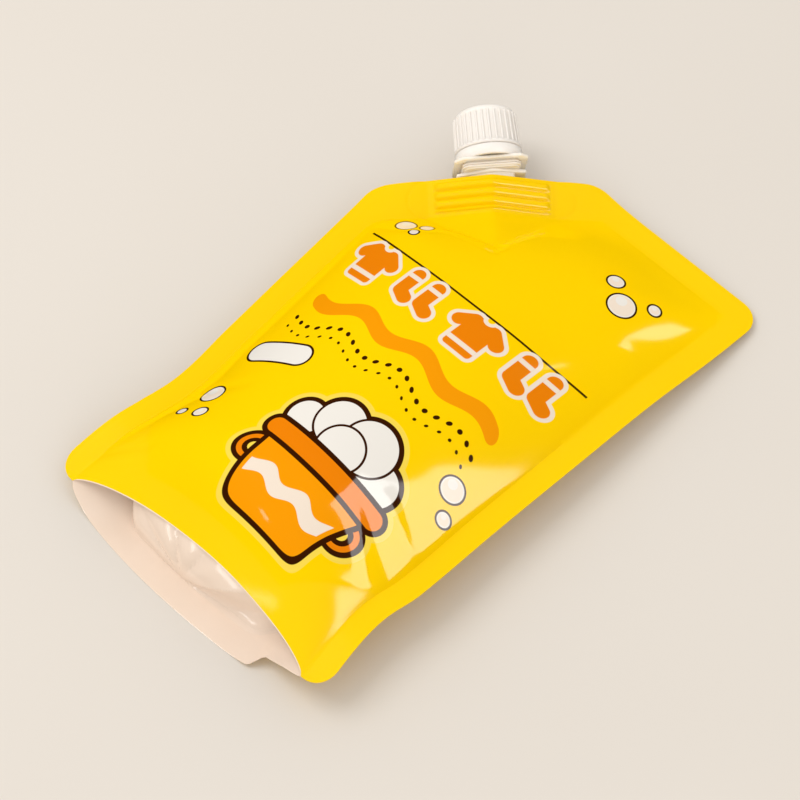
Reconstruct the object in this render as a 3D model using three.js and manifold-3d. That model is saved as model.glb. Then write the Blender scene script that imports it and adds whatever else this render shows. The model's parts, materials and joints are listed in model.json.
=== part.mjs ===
// A filled stand-up pouch with a corner spout, lying on its back panel.
//
// Millimetres, +Z up. The back panel rests on the plane z = 0, the printed front panel faces up,
// +Y runs from the gusset at the bottom of the pouch to its top seal, and the spout leaves the
// cut-off corner at -X +Y. Every film surface is worked out from a point (u, v) of the flat film:
// u runs across the pouch from its middle line, v runs up from the bottom edge.

import * as THREE from 'three';
import { mergeVertices } from 'three/addons/utils/BufferGeometryUtils.js';
import Module from 'manifold-3d';

// The flat film
const POUCH_WIDTH = 140;
const POUCH_HEIGHT = 220;
const CORNER_CUT = 60; // leg of the cut that carries the spout, the same along both sides
const CORNER_RADIUS = 9;
const CUT_ROUNDING = 5; // how softly the side runs into the cut
const CUT_TOP_RADIUS = 12; // and the cut into the top
const SIDE_SEAL = 10;
const TOP_SEAL = 10;
const SPOUT_SEAL = 14.5; // the seal along the cut is deeper, to hold the spout's weld base
const LEAST_SEAL = 1; // what is left of a seal where a rounded corner cuts it
const SEAL_THICKNESS = 0.8;

// The filled shape
const FRONT_SWELL = 27.5; // front film above the seam, at its fullest
const BACK_SWELL = 20; // back film below the seam, if the table did not flatten it
const LEFT_PULL = 11; // how far the filling draws each side seal in
const RIGHT_PULL = 9;
const LEFT_SEAM = 12; // height of each side seal over the table
const RIGHT_SEAM = 16;
const SPOUT_OFFSET = 2; // from the middle of the cut edge, towards the top
const TABLE_BLEND = 2; // how softly the back film lifts off the table
const SPOUT_RISE = THREE.MathUtils.degToRad(18); // the spout edge points up by this much
const SPOUT_LEAN = THREE.MathUtils.degToRad(5); // and the spout is welded in this far off square

// The bottom gusset
const SKIRT_HEIGHT = 9; // sealed skirt below the gusset
const SKIRT_STRAIGHT = 35; // this far on both sides of the middle line its seal runs level
const SKIRT_ROUNDING = 6; // then it bends
const SKIRT_CORNER_HEIGHT = 37; // and slants up to the side seals
const SKIRT_THICKNESS = 0.8;
const SKIRT_REACH = 28; // how far up the lips' parting is felt
const LIP_POWER = 0.65; // below 1 the lips part fully close to the side seals
const FRONT_LIP_BACK = 8; // the front lip stands back from the flat edge
const BACK_LIP_OUT = 8; // and the back lip reaches out past it
const NOTCH_PLACE = 40; // beyond this place the back lip is held back by the side seal
const NOTCH_WIDTH = 2.2;
const NOTCH_REACH = 12;
const NOTCH_SHARE = 0.9; // share of the lip's reach that is held back
const NOTCH_RISE = 1.6;
const GUSSET_BOW = 4.5; // the gusset bellies out between the lips
const GUSSET_SPAN = 35; // film of the gusset, from its front seal to its back seal
const FOLD_PLACE = -16; // a fold starts from the back seal here
const FOLD_TURN = THREE.MathUtils.degToRad(52); // and slants across the gusset
const FOLD_SLOPE = 0.55; // beyond it the gusset is dented
const FOLD_DEPTH = 7.5;

// The spout, from the film's edge outwards
const BASE_LENGTH = 42; // weld base, a long diamond with blunt ridges
const BASE_THICKNESS = 13;
const BASE_DEPTH = 13;
const BASE_FILM = 1; // film drawn over the weld base, with its clearance
const RIDGE_ROUNDING = 0.05; // share of the base's half length that a ridge takes to turn
const TENT_LENGTH = 20; // behind the base the film stands as a tent, this far in from the seal
const TENT_APEX_SHARE = 0.85; // its tip lies this deep in the swell of the film
const TENT_VALLEY = 0.45; // share of the tent's size over which the film rises from it again
const COLLAR_WIDTH = 17; // middle of the base, carried on to the lower flange
const FLANGE_THICKNESS = 1.2;
const LOWER_FLANGE_WIDTH = 26; // the base's diamond again, thicker and with its ends cut off
const LOWER_FLANGE_HEIGHT = 15;
const UPPER_FLANGE_WIDTH = 28.4;
const UPPER_FLANGE_HEIGHT = 21;
const FLANGE_CORNER = 3;
const WAIST_WIDTH = 20.6; // block between the flanges
const WAIST_HEIGHT = 12.5;
const WAIST_LENGTH = 2.8;
const WAIST_RIB = 0.7; // two ribs round the block
const NECK_DIAMETER = 17.6;
const NECK_LENGTH = 18; // above the upper flange
const BORE_DIAMETER = 10; // straight through the spout

// The closure
const CAP_DIAMETER = 25;
const CAP_HEIGHT = 15.8;
const CAP_TAPER = 0.9; // the cap is this much slimmer at its top
const CAP_WALL_TOP = 1.6;
const CAP_SHOULDER = 3; // rounded top edge
const CAP_LIP = 1.3; // smooth lip under the ribs
const RIB_COUNT = 32;
const RIB_WIDTH = 0.8;
const RIB_DEPTH = 0.4;
const BAND_HEIGHT = 3.9; // tamper band
const BAND_WALL = 1.5;
const BRIDGE_COUNT = 10;
const BRIDGE_WIDTH = 1.1;
const TEAR_SLIT = 0.7; // between the band and the cap
const CLEARANCE = 0.3;
const THREAD_CLEARANCE = 0.5; // neck to cap

// How finely the film and the round pieces are faceted
const LOWER_ROWS = 24;
const UPPER_ROWS = 26;
const FILM_COLUMNS = 30;
const SPOUT_SEAL_COLUMNS = 6;
const SEAL_COLUMNS = 2;
const CORNER_ROWS = 4;
const SKIRT_STEPS = 3;
const GUSSET_STEPS = 8;
const ROUND_STEPS = 64;
const ARC_STEPS = 5;
const WELD_TOLERANCE = 1e-4;

const wasm = await Module();
wasm.setup();

// Shares of the amounts above at shares of the pouch's height, from the bottom edge to the top
const LEFT_PULL_CURVE = [[0, 0.32], [0.11, 0.6], [0.23, 1], [0.36, 0.78], [0.55, 0.42], [0.73, 0.12],
  [1, 0.05]];
const RIGHT_PULL_CURVE = [[0, 0.72], [0.1, 1], [0.15, 1.02], [0.21, 0.78], [0.36, 0.66], [0.55, 0.47],
  [0.73, 0.33], [0.87, 0.14], [1, 0.06]];
const LEFT_SEAM_CURVE = [[0, 0.48], [0.11, 0.98], [0.23, 1.03], [0.55, 0.88], [0.87, 0.7], [1, 0.76]];
const RIGHT_SEAM_CURVE = [[0, 0.84], [0.11, 1.03], [0.36, 0.92], [0.55, 0.78], [0.73, 0.55], [0.87, 0.3],
  [1, 0.08]];
const FRONT_SWELL_CURVE = [[0, 0.38], [0.12, 0.87], [0.24, 1], [0.38, 0.97], [0.57, 0.85], [0.76, 0.58],
  [0.9, 0.31], [1, 0]];
const BACK_SWELL_CURVE = [[0, 0.8], [0.24, 1], [0.57, 0.9], [0.76, 0.6], [0.9, 0.31], [1, 0]];
const SWELL_POWER = 0.9; // a little fuller towards the seals than a parabola

const DIAGONAL = Math.SQRT1_2;
const FILM = SEAL_THICKNESS / 2;
const BASE_COVER = BASE_THICKNESS / 2 + BASE_FILM; // film over the middle of the weld base
const BASE_REACH = BASE_LENGTH / 2 + 2 * BASE_FILM; // where that film is flat again
const FULL_HEIGHT = POUCH_HEIGHT - TOP_SEAL;
// Where the inner line of the side seal turns into that of the seal along the cut
const CUT_SEAL_START = POUCH_HEIGHT - CORNER_CUT + SIDE_SEAL - SPOUT_SEAL * Math.SQRT2;
// Middle of the arc between the cut and the top
const CUT_TOP_U = CORNER_CUT - POUCH_WIDTH / 2 + (Math.SQRT2 - 1) * CUT_TOP_RADIUS;
const CUT_TOP_V = POUCH_HEIGHT - CUT_TOP_RADIUS;
// The spout's place on the cut edge of the flat film
const SPOUT_U = (CORNER_CUT - POUCH_WIDTH) / 2 + SPOUT_OFFSET * DIAGONAL;
const SPOUT_V = POUCH_HEIGHT - CORNER_CUT / 2 + SPOUT_OFFSET * DIAGONAL;

const { clamp, lerp, smoothstep } = THREE.MathUtils;

// A smooth curve through [place, value] pairs, with its slope at each pair taken from its neighbours
function curveThrough(pairs, place) {
  const last = pairs.length - 1;
  const at = clamp(place, pairs[0][0], pairs[last][0]);
  const slope = (i) => {
    const [a, b] = [pairs[Math.max(i - 1, 0)], pairs[Math.min(i + 1, last)]];
    return (b[1] - a[1]) / (b[0] - a[0]);
  };
  const i = Math.min(pairs.findIndex((pair, k) => k === last || pairs[k + 1][0] >= at), last - 1);
  const span = pairs[i + 1][0] - pairs[i][0];
  const t = (at - pairs[i][0]) / span;
  const rise = t * t * (3 - 2 * t);
  return lerp(pairs[i][1], pairs[i + 1][1], rise)
    + span * (t * (1 - t) ** 2 * slope(i) - t * t * (1 - t) * slope(i + 1));
}

// Zero below -softness, x above it, and a smooth bend between
function softRamp(x, softness) {
  if (x <= -softness) return 0;
  if (x >= softness) return x;
  return (x + softness) ** 2 / (4 * softness);
}

const softMax = (a, b, softness) => a + softRamp(b - a, softness);

// Left and right edge of the flat film at height v, with the round corners and the cut corner
function filmEdges(v) {
  const round = (inset) => {
    const gap = CORNER_RADIUS - Math.min(Math.max(inset, 0), CORNER_RADIUS);
    return CORNER_RADIUS - Math.sqrt(CORNER_RADIUS ** 2 - gap ** 2);
  };
  const bottom = round(v);
  const cut = softRamp(v - (POUCH_HEIGHT - CORNER_CUT), CUT_ROUNDING) - POUCH_WIDTH / 2;
  const rise = v - CUT_TOP_V;
  const onArc = rise > CUT_TOP_RADIUS * DIAGONAL;
  const arc = CUT_TOP_U - Math.sqrt(Math.max(CUT_TOP_RADIUS ** 2 - rise ** 2, 0));
  return [bottom + (onArc ? arc : cut), POUCH_WIDTH / 2 - bottom - round(POUCH_HEIGHT - v)];
}

// Left and right inner line of the seals at height v
function sealLines(v) {
  const [left, right] = filmEdges(v);
  const side = SIDE_SEAL - POUCH_WIDTH / 2 + softRamp(v - CUT_SEAL_START, CUT_ROUNDING);
  return [Math.max(side, left + LEAST_SEAL), Math.min(POUCH_WIDTH / 2 - SIDE_SEAL, right - LEAST_SEAL)];
}

// Place on the flat film as seen from the spout: along the cut edge, and outwards from it
function fromSpout(u, v) {
  return [(u - SPOUT_U + v - SPOUT_V) * DIAGONAL, (v - SPOUT_V - u + SPOUT_U) * DIAGONAL];
}

// How much of the spout's rise is felt at a point: all of it over the weld base, none far from it
function riseShare(along, out) {
  const beside = 1 - smoothstep(Math.abs(along), BASE_REACH, CORNER_CUT);
  return beside * smoothstep(out, -2 * SPOUT_SEAL, -SPOUT_SEAL);
}

// The seam surface: where the two films lie together, or would if the pouch were empty
function seamPoint(u, v) {
  const up = v / POUCH_HEIGHT;
  const across = u / POUCH_WIDTH + 0.5;
  const left = LEFT_PULL * curveThrough(LEFT_PULL_CURVE, up) - POUCH_WIDTH / 2;
  const right = POUCH_WIDTH / 2 - RIGHT_PULL * curveThrough(RIGHT_PULL_CURVE, up);
  const leftHeight = LEFT_SEAM * curveThrough(LEFT_SEAM_CURVE, up);
  const rightHeight = RIGHT_SEAM * curveThrough(RIGHT_SEAM_CURVE, up);
  const [along, out] = fromSpout(u, v);
  const rise = Math.tan(SPOUT_RISE) * softRamp(out + SPOUT_SEAL, CUT_ROUNDING) * riseShare(along, 0);
  return new THREE.Vector3(lerp(left, right, across), v, lerp(leftHeight, rightHeight, across) + rise);
}

// Moves a point off the seam: straight up or down, but square to the film where the spout edge rises
function offSeam(point, u, v, distance) {
  const tilt = SPOUT_RISE * riseShare(...fromSpout(u, v));
  point.x += distance * Math.sin(tilt) * DIAGONAL;
  point.y -= distance * Math.sin(tilt) * DIAGONAL;
  point.z += distance * Math.cos(tilt);
}

// Share of the full swell at a point of the film: none at the seals, all on the middle line
function swellShare(u, v) {
  const [left, right] = sealLines(v);
  const offset = (2 * u - left - right) / (right - left);
  return Math.max(1 - offset * offset, 0) ** SWELL_POWER;
}

// The film's own dome, before the spout's base changes it
function domeSwell(u, v, swell, curve) {
  return swell * curveThrough(curve, Math.min(v / FULL_HEIGHT, 1)) * swellShare(u, v);
}

// How far a film stands off the seam: a dome, drawn as a roof over the weld base in the seal, and behind
// it as a tent of two flat flanks, from which the film rises again
function filmSwell(u, v, swell, curve) {
  const [along, out] = fromSpout(u, v);
  const dome = domeSwell(u, v, swell, curve);
  const ridge = 1 + RIDGE_ROUNDING - Math.hypot(along / BASE_REACH, RIDGE_ROUNDING);
  const inward = -out - SPOUT_SEAL;
  if (inward <= 0) return softMax(dome, BASE_COVER * softRamp(ridge, RIDGE_ROUNDING), FILM);
  const tip = (SPOUT_SEAL + TENT_LENGTH) * DIAGONAL;
  const tipHeight = TENT_APEX_SHARE * domeSwell(SPOUT_U + tip, SPOUT_V - tip, swell, curve);
  const share = inward / TENT_LENGTH;
  const tent = BASE_COVER * softRamp(ridge - share, RIDGE_ROUNDING) + tipHeight * Math.min(share, 1);
  const past = clamp((share - ridge) / TENT_VALLEY, 0, 1);
  return lerp(tent, dome, past * (2 - past));
}

// How strongly the parted lips of the mouth move a point
const lipShare = (u, v) => swellShare(u, v) ** LIP_POWER * Math.exp(-((v / SKIRT_REACH) ** 2));

// How strongly a point of the back lip is held back beside the right side seal
function notchShare(u, v) {
  const past = smoothstep(u, NOTCH_PLACE - NOTCH_WIDTH, NOTCH_PLACE + NOTCH_WIDTH);
  return past * Math.exp(-((v / NOTCH_REACH) ** 2));
}

function frontPoint(u, v) {
  const point = seamPoint(u, v);
  point.y += FRONT_LIP_BACK * lipShare(u, v);
  offSeam(point, u, v, FILM + filmSwell(u, v, FRONT_SWELL, FRONT_SWELL_CURVE));
  return point;
}

function backPoint(u, v) {
  const point = seamPoint(u, v);
  const held = notchShare(u, v);
  point.y -= BACK_LIP_OUT * lipShare(u, v) * (1 - NOTCH_SHARE * held);
  offSeam(point, u, v, -FILM - filmSwell(u, v, BACK_SWELL, BACK_SWELL_CURVE));
  const beside = smoothstep(POUCH_WIDTH / 2 - SIDE_SEAL - u, 0, SIDE_SEAL);
  point.z = softRamp(point.z, TABLE_BLEND) + NOTCH_RISE * held * beside;
  return point;
}

// Inner face of a skirt, one film inside the given face
function skirtPoint(face, other, u, v) {
  const point = face(u, v);
  const way = other(u, v).sub(point);
  const depth = Math.min(SKIRT_THICKNESS, way.length() / 2);
  return point.addScaledVector(way.normalize(), depth);
}

const evenSteps = (count) => Array.from({ length: count + 1 }, (_, i) => i / count);

// Heights of the film's rows: close together round the corners, and closer beside the cut than below it
function filmRows() {
  const top = POUCH_HEIGHT - Math.max(TOP_SEAL, CORNER_RADIUS);
  const corner = evenSteps(CORNER_ROWS).map((t) => CORNER_RADIUS * (1 - Math.cos(t * Math.PI / 2)));
  const lower = evenSteps(LOWER_ROWS).map((t) => lerp(CORNER_RADIUS, CUT_SEAL_START, t));
  const upper = evenSteps(UPPER_ROWS).map((t) => lerp(CUT_SEAL_START, top, t));
  const last = evenSteps(CORNER_ROWS).map((t) => lerp(top, POUCH_HEIGHT, Math.sin(t * Math.PI / 2)));
  return [...corner, ...lower.slice(1), ...upper.slice(1), ...last.slice(1)];
}

// Places across the film at height v: a few over each seal, the rest between the seal lines
function filmColumns(v) {
  const [left, right] = filmEdges(v);
  const [sealLeft, sealRight] = sealLines(v);
  return [
    ...evenSteps(SPOUT_SEAL_COLUMNS).map((t) => lerp(left, sealLeft, t)),
    ...evenSteps(FILM_COLUMNS).slice(1).map((t) => lerp(sealLeft, sealRight, t)),
    ...evenSteps(SEAL_COLUMNS).slice(1).map((t) => lerp(sealRight, right, t)),
  ];
}

// Height of the gusset's seal: level in the middle, slanting up to the side seals
function skirtHeight(u) {
  const slant = POUCH_WIDTH / 2 - SIDE_SEAL - SKIRT_STRAIGHT;
  const rise = softRamp(Math.abs(u) - SKIRT_STRAIGHT, SKIRT_ROUNDING) / slant;
  return lerp(SKIRT_HEIGHT, SKIRT_CORNER_HEIGHT, Math.min(rise, 1));
}

// How far the gusset stands out at a share of its span from front to back: a belly with a dent beyond a fold
function gussetOut(u, share) {
  const edge = Math.min(Math.abs(u) / (POUCH_WIDTH / 2 - SIDE_SEAL), 1);
  const span = Math.sin(Math.PI * share);
  const beyond = (u - FOLD_PLACE) * Math.cos(FOLD_TURN) + (share - 1) * GUSSET_SPAN * Math.sin(FOLD_TURN);
  const dent = clamp(FOLD_SLOPE * beyond, 0, FOLD_DEPTH);
  return (1 - edge * edge) * (GUSSET_BOW * span - dent * Math.sqrt(span));
}

// A column of the mouth's lining: up the front skirt, over the gusset and down the back skirt
function liningColumn(u) {
  const steps = evenSteps(SKIRT_STEPS).map((t) => t * skirtHeight(u));
  const front = steps.map((v) => skirtPoint(frontPoint, backPoint, u, v));
  const back = steps.map((v) => skirtPoint(backPoint, frontPoint, u, v)).reverse();
  const gusset = evenSteps(GUSSET_STEPS).slice(1, -1).map((t) => {
    const point = front[SKIRT_STEPS].clone().lerp(back[0], t);
    point.y -= gussetOut(u, t);
    return point;
  });
  return [...front, ...gusset, ...back];
}

// The filled film pack as one closed solid
function pouchSolid() {
  const rows = filmRows();
  const uses = rows.map(filmColumns);
  const front = rows.map((v, j) => uses[j].map((u) => frontPoint(u, v)));
  const back = rows.map((v, j) => uses[j].map((u) => backPoint(u, v)));
  const lastRow = rows.length - 1;
  const lastColumn = uses[0].length - 1;
  const triangles = [];
  const fan = ([first, ...rest]) => {
    rest.slice(1).forEach((corner, k) => triangles.push([first, rest[k], corner]));
  };
  // Four corners, split along the shorter diagonal
  const quad = (a, b, c, d) => {
    const short = a.distanceTo(c) <= b.distanceTo(d);
    fan(short ? [a, b, c, d] : [b, c, d, a]);
  };

  for (let j = 0; j < lastRow; j += 1) {
    for (let i = 0; i < lastColumn; i += 1) {
      quad(front[j][i], front[j][i + 1], front[j + 1][i + 1], front[j + 1][i]);
      quad(back[j][i], back[j + 1][i], back[j + 1][i + 1], back[j][i + 1]);
    }
    quad(front[j][0], front[j + 1][0], back[j + 1][0], back[j][0]);
    quad(front[j + 1][lastColumn], front[j][lastColumn], back[j][lastColumn], back[j + 1][lastColumn]);
  }
  for (let i = 0; i < lastColumn; i += 1) {
    quad(front[lastRow][i], front[lastRow][i + 1], back[lastRow][i + 1], back[lastRow][i]);
  }

  const mouthStart = SPOUT_SEAL_COLUMNS;
  const mouthEnd = SPOUT_SEAL_COLUMNS + FILM_COLUMNS;
  const lining = uses[0].slice(mouthStart, mouthEnd + 1).map(liningColumn);
  const liningEnd = lining[0].length - 1;
  for (let i = 0; i < FILM_COLUMNS; i += 1) {
    const [here, next] = [lining[i], lining[i + 1]];
    const at = mouthStart + i;
    quad(front[0][at + 1], front[0][at], here[0], next[0]);
    quad(next[liningEnd], here[liningEnd], back[0][at], back[0][at + 1]);
    for (let k = 0; k < liningEnd; k += 1) {
      quad(here[k], here[k + 1], next[k + 1], next[k]);
    }
  }
  for (let i = 0; i < mouthStart; i += 1) {
    const end = i + 1 === mouthStart ? [lining[0][0]] : [];
    fan([back[0][i], back[0][i + 1], ...end, front[0][i + 1], front[0][i]]);
  }
  for (let i = mouthEnd; i < lastColumn; i += 1) {
    const end = i === mouthEnd ? [lining[FILM_COLUMNS][0]] : [];
    fan([back[0][i + 1], front[0][i + 1], front[0][i], ...end, back[0][i]]);
  }
  const geometry = new THREE.BufferGeometry();
  const positions = triangles.flat().flatMap((point) => point.toArray());
  geometry.setAttribute('position', new THREE.Float32BufferAttribute(positions, 3));
  return toSolid(geometry);
}

// A closed mesh as a solid that can be joined and cut
function toSolid(geometry) {
  const bare = geometry.clone();
  bare.deleteAttribute('normal');
  bare.deleteAttribute('uv');
  const merged = mergeVertices(bare, WELD_TOLERANCE);
  const corners = merged.index.array;
  const triVerts = [];
  for (let i = 0; i < corners.length; i += 3) {
    const [a, b, c] = corners.slice(i, i + 3);
    if (a !== b && b !== c && c !== a) triVerts.push(a, b, c);
  }
  return new wasm.Manifold(new wasm.Mesh({
    numProp: 3,
    vertProperties: Float32Array.from(merged.attributes.position.array),
    triVerts: Uint32Array.from(triVerts),
  }));
}

function toGeometry(solid) {
  const mesh = solid.getMesh();
  const geometry = new THREE.BufferGeometry();
  geometry.setAttribute('position', new THREE.BufferAttribute(mesh.vertProperties, mesh.numProp));
  geometry.setIndex(new THREE.BufferAttribute(mesh.triVerts, 1));
  const flat = geometry.toNonIndexed();
  flat.computeVertexNormals();
  return flat;
}

const join = (first, ...others) => others.reduce((sum, solid) => sum.add(solid), first);

// A prism of a shape, from one distance along the spout to another
function prism(shape, from, to) {
  const settings = { depth: to - from, bevelEnabled: false, curveSegments: ARC_STEPS };
  return toSolid(new THREE.ExtrudeGeometry(shape, settings).translate(0, 0, from));
}

// A turned piece round the spout's axis, from [radius, distance] pairs that start and end on the axis
// or close on themselves
function turned(pairs) {
  const profile = pairs.map(([radius, along]) => new THREE.Vector2(radius, along));
  return toSolid(new THREE.LatheGeometry(profile, ROUND_STEPS).rotateX(Math.PI / 2));
}

const disc = (radius, from, to) => turned([[0, from], [radius, from], [radius, to], [0, to]]);

const tube = (inner, outer, from, to) => turned([
  [inner, from], [outer, from], [outer, to], [inner, to], [inner, from],
]);

// Long diamond of the weld base with two blunt ridges, its long way along Y
function diamond(length, thickness) {
  const y = length / 2;
  const x = thickness / 2 / (1 - RIDGE_ROUNDING); // where the flanks would meet without the blunt ridge
  const [bendX, bendY] = [x * (1 - 2 * RIDGE_ROUNDING), y * 2 * RIDGE_ROUNDING];
  const shape = new THREE.Shape();
  shape.moveTo(0, -y);
  shape.lineTo(bendX, -bendY);
  shape.quadraticCurveTo(x, 0, bendX, bendY);
  shape.lineTo(0, y);
  shape.lineTo(-bendX, bendY);
  shape.quadraticCurveTo(-x, 0, -bendX, -bendY);
  return shape;
}

// Rectangle with cut or round corners, its width along Y
function plate(width, height, corner, isRound) {
  const [x, y] = [height / 2, width / 2];
  const shape = new THREE.Shape();
  const turn = (cornerX, cornerY, endX, endY) => {
    if (isRound) shape.quadraticCurveTo(cornerX, cornerY, endX, endY);
    else shape.lineTo(endX, endY);
  };
  shape.moveTo(x, corner - y);
  shape.lineTo(x, y - corner);
  turn(x, y, x - corner, y);
  shape.lineTo(corner - x, y);
  turn(-x, y, -x, y - corner);
  shape.lineTo(-x, corner - y);
  turn(-x, -y, corner - x, -y);
  shape.lineTo(x - corner, -y);
  turn(x, -y, x, corner - y);
  return shape;
}

// Distances along the spout from the film's edge, which the leaning weld base stays within and the leaning
// lower flange just clears
const BASE_END = -BASE_LENGTH / 2 * Math.sin(SPOUT_LEAN) - CLEARANCE;
const LOWER_FLANGE_START = LOWER_FLANGE_WIDTH / 2 * Math.sin(SPOUT_LEAN) + CLEARANCE;
const LOWER_FLANGE_END = LOWER_FLANGE_START + FLANGE_THICKNESS;
const WAIST_END = LOWER_FLANGE_END + WAIST_LENGTH;
const UPPER_FLANGE_END = WAIST_END + FLANGE_THICKNESS;
const NECK_END = UPPER_FLANGE_END + NECK_LENGTH;
const BAND_START = UPPER_FLANGE_END + CLEARANCE;
const BAND_END = BAND_START + BAND_HEIGHT;
const CAP_START = BAND_END + TEAR_SLIT;
const CAP_END = CAP_START + CAP_HEIGHT;

// The moulded spout: weld base, two flanges with a ribbed block between, and the neck
function spoutSolid() {
  const basePlan = diamond(BASE_LENGTH, BASE_THICKNESS);
  const collarCut = plate(COLLAR_WIDTH, BASE_THICKNESS, FLANGE_CORNER, false);
  const lowerPlan = diamond(BASE_LENGTH, LOWER_FLANGE_HEIGHT);
  const lowerCut = plate(LOWER_FLANGE_WIDTH, LOWER_FLANGE_HEIGHT, FLANGE_CORNER, false);
  const waistPlate = plate(WAIST_WIDTH, WAIST_HEIGHT, FLANGE_CORNER, true);
  const upperPlate = plate(UPPER_FLANGE_WIDTH, UPPER_FLANGE_HEIGHT, FLANGE_CORNER, false);
  const ribPlate = plate(WAIST_WIDTH + 2 * WAIST_RIB, WAIST_HEIGHT + 2 * WAIST_RIB, FLANGE_CORNER, true);
  const base = prism(basePlan, -BASE_DEPTH, BASE_END);
  const collar = prism(basePlan, -BASE_DEPTH, LOWER_FLANGE_END)
    .intersect(prism(collarCut, -BASE_DEPTH, LOWER_FLANGE_END));
  const lower = prism(lowerPlan, LOWER_FLANGE_START, LOWER_FLANGE_END)
    .intersect(prism(lowerCut, LOWER_FLANGE_START, LOWER_FLANGE_END));
  const waist = prism(waistPlate, LOWER_FLANGE_START, UPPER_FLANGE_END);
  const upper = prism(upperPlate, WAIST_END, UPPER_FLANGE_END);
  const ribs = [1, 2].map((k) => {
    const middle = LOWER_FLANGE_END + k * WAIST_LENGTH / 3;
    return prism(ribPlate, middle - WAIST_RIB / 2, middle + WAIST_RIB / 2);
  });
  const neck = disc(NECK_DIAMETER / 2, WAIST_END, NECK_END);
  const bore = disc(BORE_DIAMETER / 2, -2 * BASE_DEPTH, 2 * NECK_END);
  return join(base, collar, lower, waist, upper, ...ribs, neck).subtract(bore);
}

// Room for the weld base between the films
function basePocket() {
  const shape = diamond(BASE_LENGTH + 4 * CLEARANCE, BASE_THICKNESS + 2 * CLEARANCE);
  return prism(shape, -BASE_DEPTH - CLEARANCE, CORNER_CUT);
}

// The tamper band with the stubs of its bridges, which end just short of the cap
function bandSolid() {
  const [outer, inner] = [CAP_DIAMETER / 2, CAP_DIAMETER / 2 - BAND_WALL];
  const ring = tube(inner, outer, BAND_START, BAND_END);
  const stub = TEAR_SLIT - CLEARANCE;
  const bridges = evenSteps(BRIDGE_COUNT).slice(1).map((turn) => {
    const block = new THREE.BoxGeometry(BAND_WALL / 2, BRIDGE_WIDTH, 2 * stub);
    block.translate(outer - BAND_WALL / 2, 0, BAND_END).rotateZ(turn * 2 * Math.PI);
    return toSolid(block);
  });
  return join(ring, ...bridges);
}

// The ribbed screw cap: a turned cup with a round shoulder, and ribs along its wall
function capSolid() {
  const [foot, head] = [CAP_DIAMETER / 2, (CAP_DIAMETER - CAP_TAPER) / 2];
  const root = RIB_DEPTH;
  const shoulder = evenSteps(ARC_STEPS).map((t) => [
    head - root - CAP_SHOULDER * (1 - Math.cos(t * Math.PI / 2)),
    CAP_END - CAP_SHOULDER * (1 - Math.sin(t * Math.PI / 2)),
  ]);
  const lipEnd = CAP_START + CAP_LIP;
  const wall = [[0, CAP_START], [foot, CAP_START], [foot, lipEnd], [foot - root, lipEnd]];
  const body = turned([...wall, ...shoulder, [0, CAP_END]]);
  const ribLength = CAP_HEIGHT - CAP_LIP - CAP_SHOULDER;
  const taper = Math.atan2(foot - head, CAP_HEIGHT);
  const ribs = evenSteps(RIB_COUNT).slice(1).map((turn) => {
    const rib = new THREE.BoxGeometry(2 * root, RIB_WIDTH, ribLength).rotateY(-taper);
    rib.translate((foot + head) / 2 - root, 0, lipEnd + ribLength / 2).rotateZ(turn * 2 * Math.PI);
    return toSolid(rib);
  });
  const cavity = disc(NECK_DIAMETER / 2 + THREAD_CLEARANCE, CAP_START - CAP_HEIGHT, CAP_END - CAP_WALL_TOP);
  return join(body, ...ribs).subtract(cavity);
}

// The spout's frame: X out of the film, Y along the cut edge, Z along the spout's axis
function spoutFrame() {
  const step = SPOUT_SEAL / 2;
  const origin = seamPoint(SPOUT_U, SPOUT_V);
  const edgeStart = seamPoint(SPOUT_U - step, SPOUT_V - step);
  const edge = seamPoint(SPOUT_U + step, SPOUT_V + step).sub(edgeStart).normalize();
  const inner = seamPoint(SPOUT_U + step, SPOUT_V - step);
  const axis = origin.clone().sub(inner).normalize();
  const normal = edge.clone().cross(axis).normalize();
  axis.applyAxisAngle(normal, SPOUT_LEAN);
  const along = axis.clone().cross(normal);
  return new THREE.Matrix4().makeBasis(normal, along, axis).setPosition(origin);
}

const plastic = (color, roughness) => new THREE.MeshStandardMaterial({ color, roughness, metalness: 0 });

function piece(name, solid, material) {
  const mesh = new THREE.Mesh(toGeometry(solid), material);
  mesh.name = name;
  return mesh;
}

const spoutPlace = spoutFrame();
const pocket = basePocket().transform(spoutPlace.elements);
const closure = new THREE.Group();
closure.add(piece('spout', spoutSolid(), plastic(0xf6e6da, 0.45)));
closure.add(piece('tamper_band', bandSolid(), plastic(0xfdf5ed, 0.4)));
closure.add(piece('screw_cap', capSolid(), plastic(0xfdf5ed, 0.4)));
spoutPlace.decompose(closure.position, closure.quaternion, closure.scale);

const pack = new THREE.Group();
pack.add(piece('pouch', pouchSolid().subtract(pocket), plastic(0xfed301, 0.22)));
pack.add(closure);

// The origin is under the middle of the whole pack
const box = new THREE.Box3().setFromObject(pack, true);
const middle = box.getCenter(new THREE.Vector3());
pack.position.set(-middle.x, -middle.y, 0);

export default pack;
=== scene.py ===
# %% [markdown]
# A filled laundry liquid pouch, lying on its back. The packed model gives the frame: a pouch of sealed
# film, a spout in its cut corner, a tamper band and a ribbed screw cap. This lesson gives each of them
# its finished surface. It starts by loading the frame and keeping its box, because nothing that is made
# later may outgrow it.

# %% Load the packed model
import json
import math

import bmesh
import bpy
import numpy as np
from mathutils import Matrix, Vector


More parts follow.
